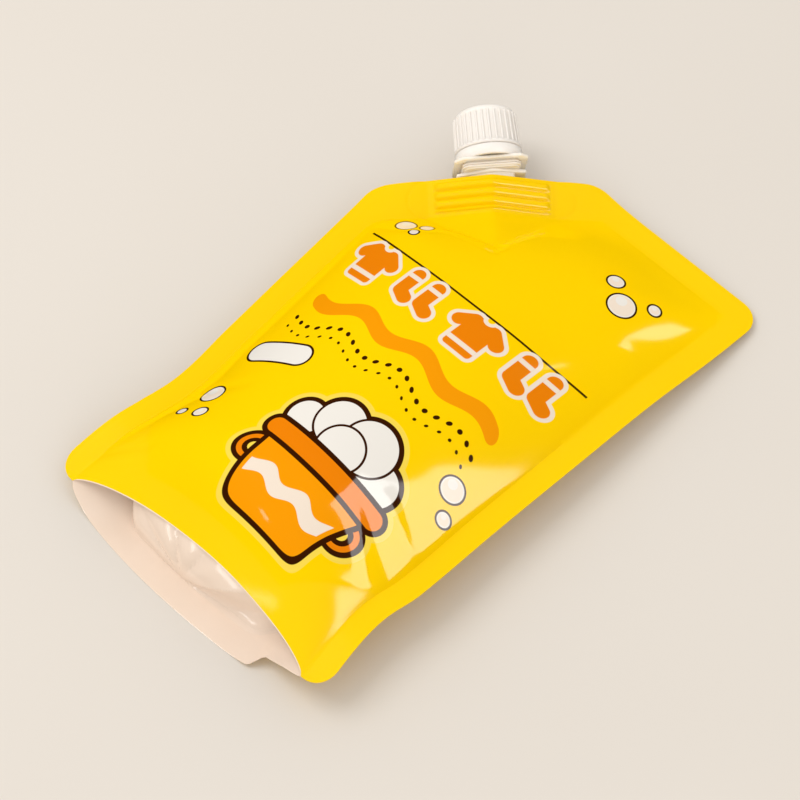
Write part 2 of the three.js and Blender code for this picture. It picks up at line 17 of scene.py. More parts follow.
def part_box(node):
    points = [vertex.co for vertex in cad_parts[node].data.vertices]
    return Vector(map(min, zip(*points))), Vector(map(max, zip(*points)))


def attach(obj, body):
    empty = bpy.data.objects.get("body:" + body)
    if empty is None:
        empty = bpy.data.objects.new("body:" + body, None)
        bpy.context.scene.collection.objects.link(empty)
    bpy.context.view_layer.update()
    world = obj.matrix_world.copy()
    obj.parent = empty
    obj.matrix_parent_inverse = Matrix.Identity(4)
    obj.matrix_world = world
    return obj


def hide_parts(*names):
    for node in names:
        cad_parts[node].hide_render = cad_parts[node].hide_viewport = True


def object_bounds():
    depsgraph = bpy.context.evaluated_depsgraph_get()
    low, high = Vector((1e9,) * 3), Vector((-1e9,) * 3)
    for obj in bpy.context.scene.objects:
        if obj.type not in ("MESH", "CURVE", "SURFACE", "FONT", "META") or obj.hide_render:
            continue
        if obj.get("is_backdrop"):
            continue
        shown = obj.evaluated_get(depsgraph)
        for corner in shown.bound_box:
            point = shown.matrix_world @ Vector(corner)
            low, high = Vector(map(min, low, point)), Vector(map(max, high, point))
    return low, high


MM = 1000

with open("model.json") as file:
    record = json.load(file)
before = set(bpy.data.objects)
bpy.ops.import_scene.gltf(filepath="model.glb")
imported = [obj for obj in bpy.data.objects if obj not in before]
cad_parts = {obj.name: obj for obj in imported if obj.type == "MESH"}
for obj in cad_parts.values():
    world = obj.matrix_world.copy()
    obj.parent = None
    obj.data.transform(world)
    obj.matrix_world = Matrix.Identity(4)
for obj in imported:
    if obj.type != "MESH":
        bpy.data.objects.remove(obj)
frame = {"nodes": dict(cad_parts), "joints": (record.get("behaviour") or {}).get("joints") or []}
cad_low, cad_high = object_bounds()
pouch_low, pouch_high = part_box("pouch")
cap_joint = frame["joints"][0]
print("nodes:", sorted(frame["nodes"]))
print("box in mm:", [round(MM * side, 1) for side in cad_high - cad_low])

# %% [markdown]
# The pouch is two sheets of film, welded round their edges. The easiest way to keep its shape, its print
# and its seals together is to describe everything on the flat film: u runs across from the middle line, v
# runs up from the bottom edge. A few amounts then say how the filling swells the film, how it draws the
# side seals in, and how high they lie. Each curve pairs a share of the height with a share of its amount.
# All sizes are in metres.

# %% Sizes of the flat film and of its filling
POUCH_WIDTH = 0.140
POUCH_HEIGHT = 0.220
CORNER_CUT = 0.060
CORNER_RADIUS = 0.009
CUT_ROUNDING = 0.005
CUT_TOP_RADIUS = 0.012
SIDE_SEAL = 0.010
TOP_SEAL = 0.010
SPOUT_SEAL = 0.0145
LEAST_SEAL = 0.001
FILM = 0.0003

FRONT_SWELL = 0.0275
BACK_SWELL = 0.020
LEFT_PULL = 0.011
RIGHT_PULL = 0.009
LEFT_SEAM = 0.012
RIGHT_SEAM = 0.016
SPOUT_OFFSET = 0.002
TABLE_BLEND = 0.002
SPOUT_RISE = math.radians(18)
SPOUT_LEAN = math.radians(5)

LEFT_PULL_CURVE = [(0, 0.32), (0.11, 0.6), (0.23, 1), (0.36, 0.78), (0.55, 0.42), (0.73, 0.12), (1, 0.05)]
RIGHT_PULL_CURVE = [(0, 0.72), (0.1, 1), (0.15, 1.02), (0.21, 0.78), (0.36, 0.66), (0.55, 0.47),
                    (0.73, 0.33), (0.87, 0.14), (1, 0.06)]
LEFT_SEAM_CURVE = [(0, 0.48), (0.11, 0.98), (0.23, 1.03), (0.55, 0.88), (0.87, 0.7), (1, 0.76)]
RIGHT_SEAM_CURVE = [(0, 0.84), (0.11, 1.03), (0.36, 0.92), (0.55, 0.78), (0.73, 0.55), (0.87, 0.3),
                    (1, 0.08)]
FRONT_SWELL_CURVE = [(0, 0.38), (0.12, 0.87), (0.24, 1), (0.38, 0.97), (0.57, 0.85), (0.76, 0.58),
                     (0.9, 0.31), (1, 0)]
BACK_SWELL_CURVE = [(0, 0.8), (0.24, 1), (0.57, 0.9), (0.76, 0.6), (0.9, 0.31), (1, 0)]
SWELL_POWER = 0.9

DIAGONAL = math.sqrt(0.5)
FULL_HEIGHT = POUCH_HEIGHT - TOP_SEAL
SPOUT_U = (CORNER_CUT - POUCH_WIDTH) / 2 + SPOUT_OFFSET * DIAGONAL
SPOUT_V = POUCH_HEIGHT - CORNER_CUT / 2 + SPOUT_OFFSET * DIAGONAL
CUT_SEAL_START = POUCH_HEIGHT - CORNER_CUT + SIDE_SEAL - SPOUT_SEAL * math.sqrt(2)
CUT_TOP_U = CORNER_CUT - POUCH_WIDTH / 2 + (math.sqrt(2) - 1) * CUT_TOP_RADIUS
CUT_TOP_V = POUCH_HEIGHT - CUT_TOP_RADIUS
print("the spout leaves the flat film at", round(SPOUT_U, 4), round(SPOUT_V, 4))

# %% [markdown]
# Film never bends with a sharp corner, except where it is creased. So every curve here is a soft one: a
# smooth curve through a few shares, a ramp with a soft start, and a soft choice of the higher surface.


# %% Soft curves
def lerp(start, end, share):
    return start + (end - start) * share


def smooth_step(x, low, high):
    share = np.clip((x - low) / (high - low), 0, 1)
    return share * share * (3 - 2 * share)


def soft_ramp(x, softness):
    bend = (x + softness) ** 2 / (4 * softness)
    return np.where(x <= -softness, 0, np.where(x >= softness, x, bend))


def soft_max(a, b, softness):
    return a + soft_ramp(b - a, softness)


def curve_through(pairs, place):
    at, amount = np.array(pairs, float).T
    number = np.arange(len(at))
    before = np.maximum(number - 1, 0)
    after = np.minimum(number + 1, len(at) - 1)
    slope = (amount[after] - amount[before]) / (at[after] - at[before])
    place = np.clip(place, at[0], at[-1])
    i = np.clip(np.searchsorted(at, place) - 1, 0, len(at) - 2)
    span = at[i + 1] - at[i]
    t = (place - at[i]) / span
    bend = t * (1 - t) ** 2 * slope[i] - t * t * (1 - t) * slope[i + 1]
    return lerp(amount[i], amount[i + 1], smooth_step(t, 0, 1)) + span * bend


half_swell = float(curve_through(FRONT_SWELL_CURVE, 0.5))
print("front swell at half height:", round(half_swell, 3), "of the fullest")

# %% [markdown]
# First the outline of the flat film: a sheet with round corners, one of them cut off for the spout. The
# seal lines run inside it. Both are given row by row, as the left and the right end of the film at a
# height v.


# %% The outline and the seals of the flat film
def corner_inset(gap):
    short = CORNER_RADIUS - np.clip(gap, 0, CORNER_RADIUS)
    return CORNER_RADIUS - np.sqrt(CORNER_RADIUS ** 2 - short ** 2)


def film_edges(v):
    bottom = corner_inset(v)
    top = corner_inset(POUCH_HEIGHT - v)
    cut = soft_ramp(v - (POUCH_HEIGHT - CORNER_CUT), CUT_ROUNDING) - POUCH_WIDTH / 2
    rise = v - CUT_TOP_V
    arc = CUT_TOP_U - np.sqrt(np.maximum(CUT_TOP_RADIUS ** 2 - rise ** 2, 0))
    left = np.where(rise > CUT_TOP_RADIUS * DIAGONAL, arc, cut)
    return bottom + left, POUCH_WIDTH / 2 - bottom - top


def seal_lines(v):
    left, right = film_edges(v)
    side = SIDE_SEAL - POUCH_WIDTH / 2 + soft_ramp(v - CUT_SEAL_START, CUT_ROUNDING)
    return np.maximum(side, left + LEAST_SEAL), np.minimum(POUCH_WIDTH / 2 - SIDE_SEAL, right - LEAST_SEAL)


half_seals = seal_lines(np.array(POUCH_HEIGHT / 2))
print("seal lines at half height:", [round(float(x), 4) for x in half_seals])

# %% [markdown]
# The seam surface is where the two films lie together: flat in the seals, and hidden inside the pouch.
# Its two side edges are drawn in and lifted by the filling, and its cut corner points up, because the
# base of the spout is stiff. Places near the spout are measured along the cut edge and out of it.

# %% The seam surface
BASE_LENGTH = 0.042
BASE_THICKNESS = 0.0130
BASE_FILM = 0.001
BASE_COVER = BASE_THICKNESS / 2 + BASE_FILM
BASE_REACH = BASE_LENGTH / 2 + 2 * BASE_FILM


def from_spout(u, v):
    along = (u - SPOUT_U + v - SPOUT_V) * DIAGONAL
    out = (v - SPOUT_V - u + SPOUT_U) * DIAGONAL
    return along, out


def rise_share(along, out):
    beside = 1 - smooth_step(np.abs(along), BASE_REACH, CORNER_CUT)
    return beside * smooth_step(out, -2 * SPOUT_SEAL, -SPOUT_SEAL)


def seam_point(u, v):
    up = v / POUCH_HEIGHT
    across = u / POUCH_WIDTH + 0.5
    left = LEFT_PULL * curve_through(LEFT_PULL_CURVE, up) - POUCH_WIDTH / 2
    right = POUCH_WIDTH / 2 - RIGHT_PULL * curve_through(RIGHT_PULL_CURVE, up)
    left_height = LEFT_SEAM * curve_through(LEFT_SEAM_CURVE, up)
    right_height = RIGHT_SEAM * curve_through(RIGHT_SEAM_CURVE, up)
    along, out = from_spout(u, v)
    rise = math.tan(SPOUT_RISE) * soft_ramp(out + SPOUT_SEAL, CUT_ROUNDING) * rise_share(along, 0)
    height = lerp(left_height, right_height, across) + rise
    return np.stack([lerp(left, right, across), v + 0 * u, height], -1)


def off_seam(point, u, v, distance):
    tilt = SPOUT_RISE * rise_share(*from_spout(u, v))
    lean = distance * np.sin(tilt) * DIAGONAL
    return point + np.stack([lean, -lean, distance * np.cos(tilt)], -1)


print("film over the spout's base:", round(MM * BASE_COVER, 2), "mm off the seam")

# %% [markdown]
# The filling swells each film into a dome. Over the base of the spout the film is drawn as a roof with a
# blunt ridge, and past the seal the roof runs on as a tent: two flat flanks between a ridge and two
# valleys, which end together in a small dimple. Sculpting could give it too, but a formula keeps the
# flanks flat.

# %% The swell of the film and the tent over the spout's base
RIDGE_ROUNDING = 0.05
TENT_LENGTH = 0.020
TENT_APEX_SHARE = 0.85
TENT_VALLEY = 0.45
DIMPLE_DEPTH = 0.0006
DIMPLE_REACH = 0.0020


def swell_share(u, v):
    left, right = seal_lines(v)
    offset = (2 * u - left - right) / (right - left)
    return np.maximum(1 - offset * offset, 0) ** SWELL_POWER


def plain_swell(u, v, swell, curve):
    return swell * curve_through(curve, np.minimum(v / FULL_HEIGHT, 1)) * swell_share(u, v)


def tent(u, v, swell, curve):
    along, out = from_spout(u, v)
    dome = plain_swell(u, v, swell, curve)
    ridge = 1 + RIDGE_ROUNDING - np.hypot(along / BASE_REACH, RIDGE_ROUNDING)
    roof = soft_max(dome, BASE_COVER * soft_ramp(ridge, RIDGE_ROUNDING), FILM)
    tip = SPOUT_SEAL + TENT_LENGTH
    tip_swell = plain_swell(SPOUT_U + tip * DIAGONAL, SPOUT_V - tip * DIAGONAL, swell, curve)
    share = (-out - SPOUT_SEAL) / TENT_LENGTH
    flanks = BASE_COVER * soft_ramp(ridge - share, RIDGE_ROUNDING)
    flanks = flanks + TENT_APEX_SHARE * tip_swell * np.clip(share, 0, 1)
    past = np.clip((share - ridge) / TENT_VALLEY, 0, 1)
    behind = lerp(flanks, dome, past * (2 - past))
    dimple = np.exp(-(along ** 2 + (out + tip) ** 2) / DIMPLE_REACH ** 2)
    return np.where(share > 0, behind, roof) - DIMPLE_DEPTH * dimple


print("the tent ends", round(MM * (SPOUT_SEAL + TENT_LENGTH), 1), "mm in from the cut edge")

# %% [markdown]
# The jaw that welds the spout in leaves its print on both films: a raised panel over the base with three
# grooves in it, and the jaw's round ends as a fine line. A bump in the finish could fake it, but light
# runs along these bars and shows their depth, so they are real relief.

# %% The print of the sealing jaw
PANEL_RISE = 0.0007
PANEL_EDGE = 0.0004
PANEL_START = 0.0016
PANEL_END = 0.0126
GROOVES = (0.0044, 0.0078, 0.0112)
GROOVE_DEPTH = 0.0010
GROOVE_WIDTH = 0.0006
JAW_LENGTH = 0.063
JAW_WIDTH = 0.0145
JAW_LINE = 0.0005
JAW_DEPTH = 0.0002


def band_mask(x, low, high, edge):
    return smooth_step(x, low - edge, low + edge) * (1 - smooth_step(x, high - edge, high + edge))


def jaw_press(u, v):
    along, out = from_spout(u, v)
    panel = band_mask(-out, PANEL_START, PANEL_END, PANEL_EDGE)
    panel = panel * band_mask(along, -BASE_LENGTH / 2, BASE_LENGTH / 2, PANEL_EDGE)
    cut = sum(np.exp(-((out + place) / GROOVE_WIDTH) ** 2) for place in GROOVES)
    past = np.maximum(np.abs(along) - (JAW_LENGTH - JAW_WIDTH) / 2, 0)
    rim = np.hypot(past, out + JAW_WIDTH / 2) - JAW_WIDTH / 2
    rim_line = np.exp(-(rim / JAW_LINE) ** 2) * (past > 0)
    return panel * (PANEL_RISE - GROOVE_DEPTH * cut) - JAW_DEPTH * rim_line


print(len(GROOVES), "grooves,", round(MM * GROOVE_DEPTH, 2), "mm deep")

# %% [markdown]
# Creases are what make film look like film. Each one is a short fold: a line on the flat film with a
# width, a height and soft ends. A few long, very shallow waves keep the broad panel from being a perfect
# dome, so that the reflections in it wander as they do on a real pouch, and one small patch is tilted, as
# a knock leaves it.

# %% Creases and waves
WAVE_HEIGHT = 0.00016
WAVES = [(0.043, 35, 0.6), (0.058, 110, 2.1), (0.036, 160, 4.0), (0.071, 70, 5.2)]
PINCH_PLACE = (0.053, 0.160)
PINCH_REACH = 0.009
PINCH_SLOPE = 0.09
CREASES = [
    ((-0.060, 0.012), (-0.041, 0.019), 0.0022, -0.0006),
    ((-0.057, 0.046), (-0.034, 0.060), 0.0026, -0.0005),
    ((0.058, 0.036), (0.030, 0.050), 0.0030, -0.0006),
    ((0.060, 0.052), (0.036, 0.060), 0.0028, 0.0005),
    ((0.060, 0.205), (0.020, 0.176), 0.0060, 0.0005),
]


def crease(u, v, start, end, width, height):
    way = np.subtract(end, start)
    share = ((u - start[0]) * way[0] + (v - start[1]) * way[1]) / (way @ way)
    held = np.clip(share, 0, 1)
    gap = np.hypot(u - start[0] - held * way[0], v - start[1] - held * way[1])
    ends = np.sin(math.pi * held) ** 0.5
    return height * ends * np.exp(-(gap / width) ** 2)


def pinch(u, v):
    apart = np.hypot(u - PINCH_PLACE[0], v - PINCH_PLACE[1])
    return PINCH_SLOPE * (v - PINCH_PLACE[1]) * np.exp(-(apart / PINCH_REACH) ** 4)


def waves(u, v):
    total = 0
    for length, heading, start in WAVES:
        ahead = u * math.cos(math.radians(heading)) + v * math.sin(math.radians(heading))
        total = total + np.sin(2 * math.pi * ahead / length + start)
    return WAVE_HEIGHT * total


print(len(CREASES), "creases and", len(WAVES), "waves")

# %% [markdown]
# At the bottom each film is welded to the gusset as a skirt, low in the middle and rising to both side
# seals. The edge of that weld shows on the front as a step as thin as the film, above which the panel
# begins with its creases and waves.

# %% The skirt and the detail of the front
SKIRT_HEIGHT = 0.0090
SKIRT_CORNER_HEIGHT = 0.037
SKIRT_STRAIGHT = 0.035
SKIRT_ROUNDING = 0.006
SKIRT_SPREAD = POUCH_WIDTH / 2 - SIDE_SEAL - SKIRT_STRAIGHT
SEAL_STEP = 0.00018
SEAL_STEP_EDGE = 0.0006


def skirt_height(u):
    rise = soft_ramp(np.abs(u) - SKIRT_STRAIGHT, SKIRT_ROUNDING) / SKIRT_SPREAD
    return lerp(SKIRT_HEIGHT, SKIRT_CORNER_HEIGHT, np.minimum(rise, 1))


def front_detail(u, v):
    panel = swell_share(u, v) * smooth_step(FULL_HEIGHT - v, 0, TOP_SEAL)
    folds = sum(crease(u, v, *fold) for fold in CREASES)
    in_skirt = 1 - smooth_step(v - skirt_height(u), -SEAL_STEP_EDGE, SEAL_STEP_EDGE)
    return jaw_press(u, v) + panel * (waves(u, v) + pinch(u, v)) + folds - SEAL_STEP * in_skirt


print("skirt from", MM * SKIRT_HEIGHT, "mm in the middle to", MM * SKIRT_CORNER_HEIGHT, "mm at the sides")

# %% [markdown]
# The front and the back panel are the seam surface plus their swell. At the bottom the two lips of the
# gusset's mouth part: the front lip stands back, and the back lip lies further out, with a step inwards
# near its right end. The table flattens the back panel.

# %% The two panels
LIP_REACH = 0.028
LIP_POWER = 0.65
FRONT_LIP_BACK = 0.008
BACK_LIP_OUT = 0.008
NOTCH_PLACE = 0.040
NOTCH_WIDTH = 0.0026
NOTCH_ROUNDING = 1.6
NOTCH_SHARE = 0.9
NOTCH_RISE = 0.0016
NOTCH_REACH = 0.012


def lip_share(u, v):
    return swell_share(u, v) ** LIP_POWER * np.exp(-(v / LIP_REACH) ** 2)


def notch_share(u, v):
    past = smooth_step(u, NOTCH_PLACE - NOTCH_WIDTH, NOTCH_PLACE + NOTCH_WIDTH) ** NOTCH_ROUNDING
    return past * np.exp(-(v / NOTCH_REACH) ** 2)


def along_y(amount):
    return np.stack([0 * amount, amount, 0 * amount], -1)


def front_point(u, v):
    point = seam_point(u, v) + along_y(FRONT_LIP_BACK * lip_share(u, v))
    height = tent(u, v, FRONT_SWELL, FRONT_SWELL_CURVE) + front_detail(u, v)
    return off_seam(point, u, v, FILM + height)


def back_point(u, v):
    reach = BACK_LIP_OUT * lip_share(u, v) * (1 - NOTCH_SHARE * notch_share(u, v))
    point = seam_point(u, v) - along_y(reach)
    height = tent(u, v, BACK_SWELL, BACK_SWELL_CURVE) + jaw_press(u, v)
    point = off_seam(point, u, v, -FILM - height)
    lift = NOTCH_RISE * notch_share(u, v) * smooth_step(POUCH_WIDTH / 2 - SIDE_SEAL - u, 0, SIDE_SEAL)
    point[..., 2] = soft_ramp(point[..., 2], TABLE_BLEND) + lift
    return point


panel_middle = front_point(np.array(0.0), np.array(POUCH_HEIGHT / 2))
print("front panel over the table at its middle:", round(MM * float(panel_middle[2]), 1), "mm")

# %% [markdown]
# A mesh of this surface is a grid of quads, close enough together for the bars over the spout. The rows
# run from the round corners at the bottom to those at the top, and the columns follow the seals.

# %% Rows and columns of the film
CORNER_ROWS = 8
LOWER_ROWS = 104
UPPER_ROWS = 136
FILM_COLUMNS = 104
SPOUT_SEAL_COLUMNS = 52
SEAL_COLUMNS = 9


def even_steps(count):
    return np.arange(count + 1) / count


def film_rows():
    corner = CORNER_RADIUS * (1 - np.cos(even_steps(CORNER_ROWS) * math.pi / 2))
    lower = lerp(CORNER_RADIUS, CUT_SEAL_START, even_steps(LOWER_ROWS))
    upper = lerp(CUT_SEAL_START, FULL_HEIGHT, even_steps(UPPER_ROWS))
    top = lerp(FULL_HEIGHT, POUCH_HEIGHT, np.sin(even_steps(CORNER_ROWS) * math.pi / 2))
    return np.concatenate([corner, lower[1:], upper[1:], top[1:]])


def film_columns(v):
    left, right = film_edges(v)
    seal_left, seal_right = seal_lines(v)
    return np.concatenate([
        lerp(left, seal_left, even_steps(SPOUT_SEAL_COLUMNS)),
        lerp(seal_left, seal_right, even_steps(FILM_COLUMNS)[1:]),
        lerp(seal_right, right, even_steps(SEAL_COLUMNS)[1:]),
    ])


rows = film_rows()
flat_u = np.array([film_columns(v) for v in rows])
flat_v = np.repeat(rows[:, None], flat_u.shape[1], 1)
print(flat_u.shape[0], "rows of", flat_u.shape[1], "points on each panel")

# %% [markdown]
# Inside the mouth the white side of the film shows: the two skirts, and between them the gusset, which
# bellies out where the liquid presses on it. It was folded flat once, so a slanting fold dents it, and
# small pleats fan out before the fold. A cloth simulation would crumple it in a way of its own; lined by
# rule, column by column from the front lip over the gusset to the back lip, it lies as the real one does.

# %% The lining of the mouth
SKIRT_THICKNESS = 0.0004
SKIRT_STEPS = 10
GUSSET_STEPS = 36
GUSSET_BOW = 0.0045
GUSSET_SPAN = 0.035
FOLD_PLACE = -0.004
FOLD_TURN = math.radians(52)
FOLD_SLOPE = 0.55
FOLD_DEPTH = 0.0075
PLEAT_COUNT = 5
PLEAT_DEPTH = 0.0012
PLEAT_REACH = 0.010
TINY = 1e-9


def skirt_point(face, other, u, v):
    point = face(u, v)
    way = other(u, v) - point
    length = np.linalg.norm(way, axis=-1, keepdims=True)
    return point + way / np.maximum(length, TINY) * np.minimum(SKIRT_THICKNESS, length / 2)


def gusset_out(u, share):
    """How far the gusset stands out towards the mouth, at a share of its span from front to back."""
    edge = np.minimum(np.abs(u) / (POUCH_WIDTH / 2 - SIDE_SEAL), 1)
    span = np.maximum(np.sin(math.pi * share), 0)
    across = u - FOLD_PLACE
    down = (share - 1) * GUSSET_SPAN
    beyond = across * math.cos(FOLD_TURN) + down * math.sin(FOLD_TURN)
    dent = np.clip(FOLD_SLOPE * beyond, 0, FOLD_DEPTH)
    pleats = 1 - np.abs(np.sin(PLEAT_COUNT * np.arctan2(-down, across)))
    pleats = PLEAT_DEPTH * pleats * smooth_step(-beyond, 0, PLEAT_REACH)
    return (1 - edge ** 2) * (GUSSET_BOW * span - dent * np.sqrt(span) - pleats * span)


def mouth_lining(u):
    height = skirt_height(u)[:, None]
    column = u[:, None] + 0 * height
    rise = even_steps(SKIRT_STEPS) * height
    front = skirt_point(front_point, back_point, column + 0 * rise, rise)
    back = skirt_point(back_point, front_point, column + 0 * rise, rise)[:, ::-1]
    t = even_steps(GUSSET_STEPS)[1:-1]
    gusset = lerp(front[:, -1:], back[:, :1], t[None, :, None])
    gusset = gusset - along_y(gusset_out(column, t[None, :]))
    return np.concatenate([front, gusset, back], 1)


mouth = slice(SPOUT_SEAL_COLUMNS, SPOUT_SEAL_COLUMNS + FILM_COLUMNS + 1)
lining = mouth_lining(flat_u[0, mouth])
print("lining of", lining.shape[0], "by", lining.shape[1], "points")

# %% [markdown]
# Three sheets, and strips between them, will make the skin. A small collector keeps their points, the
# places of those points on the flat film, and the kind of film of each face, which later picks its
# finish.

# %% A collector for sheets of film
KINDS = ["printed front", "plain back", "white lining", "cut edge"]


class Collector:
    def __init__(self):
        self.points, self.flat, self.faces, self.kinds = [], [], [], []
        self.count = 0

    def grid(self, points, flat):
        numbers = self.count + np.arange(points.shape[0] * points.shape[1]).reshape(points.shape[:2])
        self.points.append(points.reshape(-1, 3))
        self.flat.append(flat.reshape(-1, 3))
        self.count += numbers.size
        return numbers

    def face(self, corners, kind):
        self.faces.append([int(corner) for corner in corners])
        self.kinds.append(KINDS.index(kind))

    def strip(self, first, second, kind):
        for corners in zip(first[:-1], first[1:], second[1:], second[:-1]):
            self.face(corners, kind)

    def fill(self, numbers, kind):
        for here, beyond in zip(numbers[:-1], numbers[1:]):
            self.strip(here, beyond, kind)


print("kinds of film:", KINDS)

# %% [markdown]
# Now the sheets are stitched into one closed skin: front, back, the cut edges of the seals, and the
# lining of the mouth. The places on the flat film are kept on every point, in millimetres, with the
# distance in from the nearest seal line beside them, because the print and the pressed seals are drawn by
# those numbers.


# %% Stitch the sheets together
def flat_places(u, v):
    left, right = seal_lines(v)
    inside = np.minimum(np.minimum(u - left, right - u), FULL_HEIGHT - v)
    return np.stack([u, v, inside], -1) * MM


skin = Collector()
panel_flat = flat_places(flat_u, flat_v)
front = skin.grid(front_point(flat_u, flat_v), panel_flat)
back = skin.grid(back_point(flat_u, flat_v), panel_flat)
mouth_flat = np.repeat(panel_flat[0, mouth][:, None], lining.shape[1], 1)
mouth_flat[..., 1] = np.arange(lining.shape[1])
inner = skin.grid(lining, mouth_flat)
skin.fill(front, "printed front")
skin.fill(back[:, ::-1], "plain back")
skin.fill(inner[::-1], "white lining")
skin.strip(back[:, 0], front[:, 0], "cut edge")
skin.strip(front[:, -1], back[:, -1], "cut edge")
skin.strip(front[-1], back[-1], "cut edge")
skin.strip(inner[:, 0], front[0, mouth], "white lining")
skin.strip(back[0, mouth], inner[:, -1], "white lining")
skin.strip(back[0, :mouth.start], front[0, :mouth.start], "cut edge")
skin.strip(back[0, mouth.stop:], front[0, mouth.stop:], "cut edge")
mouth_ends = [(mouth.start, mouth.start - 1, inner[0, 0]), (mouth.stop - 1, mouth.stop, inner[-1, 0])]
for at, beside, lining_corner in mouth_ends:
    corners = [back[0, beside], back[0, at], lining_corner, front[0, at], front[0, beside]]
    skin.face(corners if beside < at else corners[::-1], "cut edge")
print("stitched", skin.count, "points and", len(skin.faces), "faces")

# %% [markdown]
# The stitched lists become a mesh. Points that lie on each other are merged, so the skin is closed, and
# its edges are marked sharp where film is cut or folded. The lining was folded hard, so its folds stay
# sharp at a smaller angle.

# %% The film skin
MERGE_DISTANCE = 1e-6
SHARP_EDGE = math.radians(48)
LINING_FOLD = math.radians(14)


def new_object(name, data):
    made = bpy.data.objects.new(name, data)
    bpy.context.scene.collection.objects.link(made)
    return made


def mark_folds(build):
    lining_kind = KINDS.index("white lining")
    for edge in build.edges:
        in_lining = all(face.material_index == lining_kind for face in edge.link_faces)
        edge.smooth = edge.calc_face_angle(0) < (LINING_FOLD if in_lining else SHARP_EDGE)
    for face in build.faces:
        face.smooth = True


def finished_mesh(name, build):
    mesh = bpy.data.meshes.new(name)
    open_edges = sum(not edge.is_manifold for edge in build.edges)
    build.to_mesh(mesh)
    build.free()
    print(name, "has", len(mesh.polygons), "faces and", open_edges, "open edges")
    return mesh


def skin_mesh(name, collected, shift):
    sheets = bpy.data.meshes.new("sheets")
    points = np.concatenate(collected.points) + shift
    sheets.from_pydata(points.tolist(), [], collected.faces)
    sheets.polygons.foreach_set("material_index", np.array(collected.kinds, np.int32))
    layer = sheets.attributes.new("flat", "FLOAT_VECTOR", "POINT")
    layer.data.foreach_set("vector", np.concatenate(collected.flat).astype(np.float32).ravel())
    build = bmesh.new()
    build.from_mesh(sheets)
    bpy.data.meshes.remove(sheets)
    bmesh.ops.remove_doubles(build, verts=build.verts, dist=MERGE_DISTANCE)
    bmesh.ops.dissolve_degenerate(build, edges=build.edges, dist=MERGE_DISTANCE)
    bmesh.ops.recalc_face_normals(build, faces=build.faces)
    mark_folds(build)
    return finished_mesh(name, build)


skin_points = np.concatenate(skin.points)
made_middle = (skin_points.min(0) + skin_points.max(0)) / 2
cad_middle = (np.array(pouch_low) + np.array(pouch_high)) / 2
to_frame = np.array([cad_middle[0] - made_middle[0], cad_middle[1] - made_middle[1], 0])
pouch = new_object("film_pouch", skin_mesh("film_pouch", skin, to_frame))
print("moved into the frame by", [round(MM * x, 2) for x in to_frame], "mm")

# %% [markdown]
# Finishes are written as sums. The class below holds one socket of a node tree; arithmetic on it adds
# Math nodes, and one other method adds any node, with its settings first and then its sockets.


# %% A socket that can be written in sums
class Socket:
    def __init__(self, tree, socket):
        self.tree = tree
        self.socket = socket

    def node(self, kind, settings, sockets, output=0):
        made = self.tree.nodes.new(kind)
        for name, value in settings.items():
            setattr(made, name, value)
        for key, value in sockets.items():
            if isinstance(value, Socket):
                self.tree.links.new(value.socket, made.inputs[key])
            else:
                made.inputs[key].default_value = value
        return Socket(self.tree, made.outputs[output])

    def math(self, operation, *others, clamp=False):
        settings = {"operation": operation, "use_clamp": clamp}
        return self.node("ShaderNodeMath", settings, dict(enumerate((self, *others))))

    def __add__(self, other):
        return self.math("ADD", other)

    def __sub__(self, other):
        return self.math("SUBTRACT", other)

    def __rsub__(self, other):
        return -self + other

    def __mul__(self, other):
        return self.math("MULTIPLY", other)

    def __truediv__(self, other):
        return self.math("DIVIDE", other)

    def __mod__(self, other):
        return self.math("FLOORED_MODULO", other)

    def __neg__(self):
        return self * -1

    def __abs__(self):
        return self.math("ABSOLUTE")

    __radd__ = __add__
    __rmul__ = __mul__

    def sine(self):
        return self.math("SINE")

    def into(self, socket):
        self.tree.links.new(self.socket, socket)


print("sums that may start with a number:", [name for name in vars(Socket) if name.startswith("__r")])

# %% [markdown]
# A few nodes are needed again and again: a mix of two colours, the lower or higher of some values, a
# cloudy noise and a bump. Plastics all bend light alike, so each new finish starts with that.

# %% Nodes that are used often
PLASTIC_IOR = 1.5


def vector_math(operation, first, second, output=0):
    return first.node("ShaderNodeVectorMath", {"operation": operation}, {0: first, 1: second}, output)


def mixed(share, start, end):
    return share.node("ShaderNodeMix", {"data_type": "RGBA"}, {0: share, 6: start, 7: end}, 2)


def lower(first, *others):
    for other in others:
        first = first.math("MINIMUM", other)
    return first


def higher(first, *others):
    for other in others:
        first = first.math("MAXIMUM", other)
    return first


def joined(x, y):
    return x.node("ShaderNodeCombineXYZ", {}, {0: x, 1: y})


def noise(place, scale, detail):
    return place.node("ShaderNodeTexNoise", {}, {"Vector": place, "Scale": scale, "Detail": detail})


def bumped(shader, height, distance, strength):
    sockets = {"Strength": strength, "Distance": distance, "Height": height}
    height.node("ShaderNodeBump", {}, sockets).into(shader.inputs["Normal"])


def new_material(name, constants):
    material = bpy.data.materials.new(name)
    material.use_nodes = True
    shader = material.node_tree.nodes["Principled BSDF"]
    for socket, value in {"IOR": PLASTIC_IOR, **constants}.items():
        shader.inputs[socket].default_value = value
    return material, shader, Socket(material.node_tree, None)


def colour(red, green, blue):
    """A colour given as it looks on a screen, from 0 to 255."""
    shares = [c / 255 for c in (red, green, blue)]
    linear = [((c + 0.055) / 1.055) ** 2.4 if c > 0.04045 else c / 12.92 for c in shares]
    return (*linear, 1)


FILM_YELLOW = colour(253, 208, 0)
print("film yellow:", [round(c, 3) for c in FILM_YELLOW[:3]])

# %% [markdown]
# The print is a plain washing day: clothes on a line, a wave, a tub full of foam and loose bubbles, in
# the warm inks that such packs have. An image would blur when seen close. So every shape is one distance
# on the flat film, in millimetres, below zero inside the shape; and every ink is laid over the one below
# it.

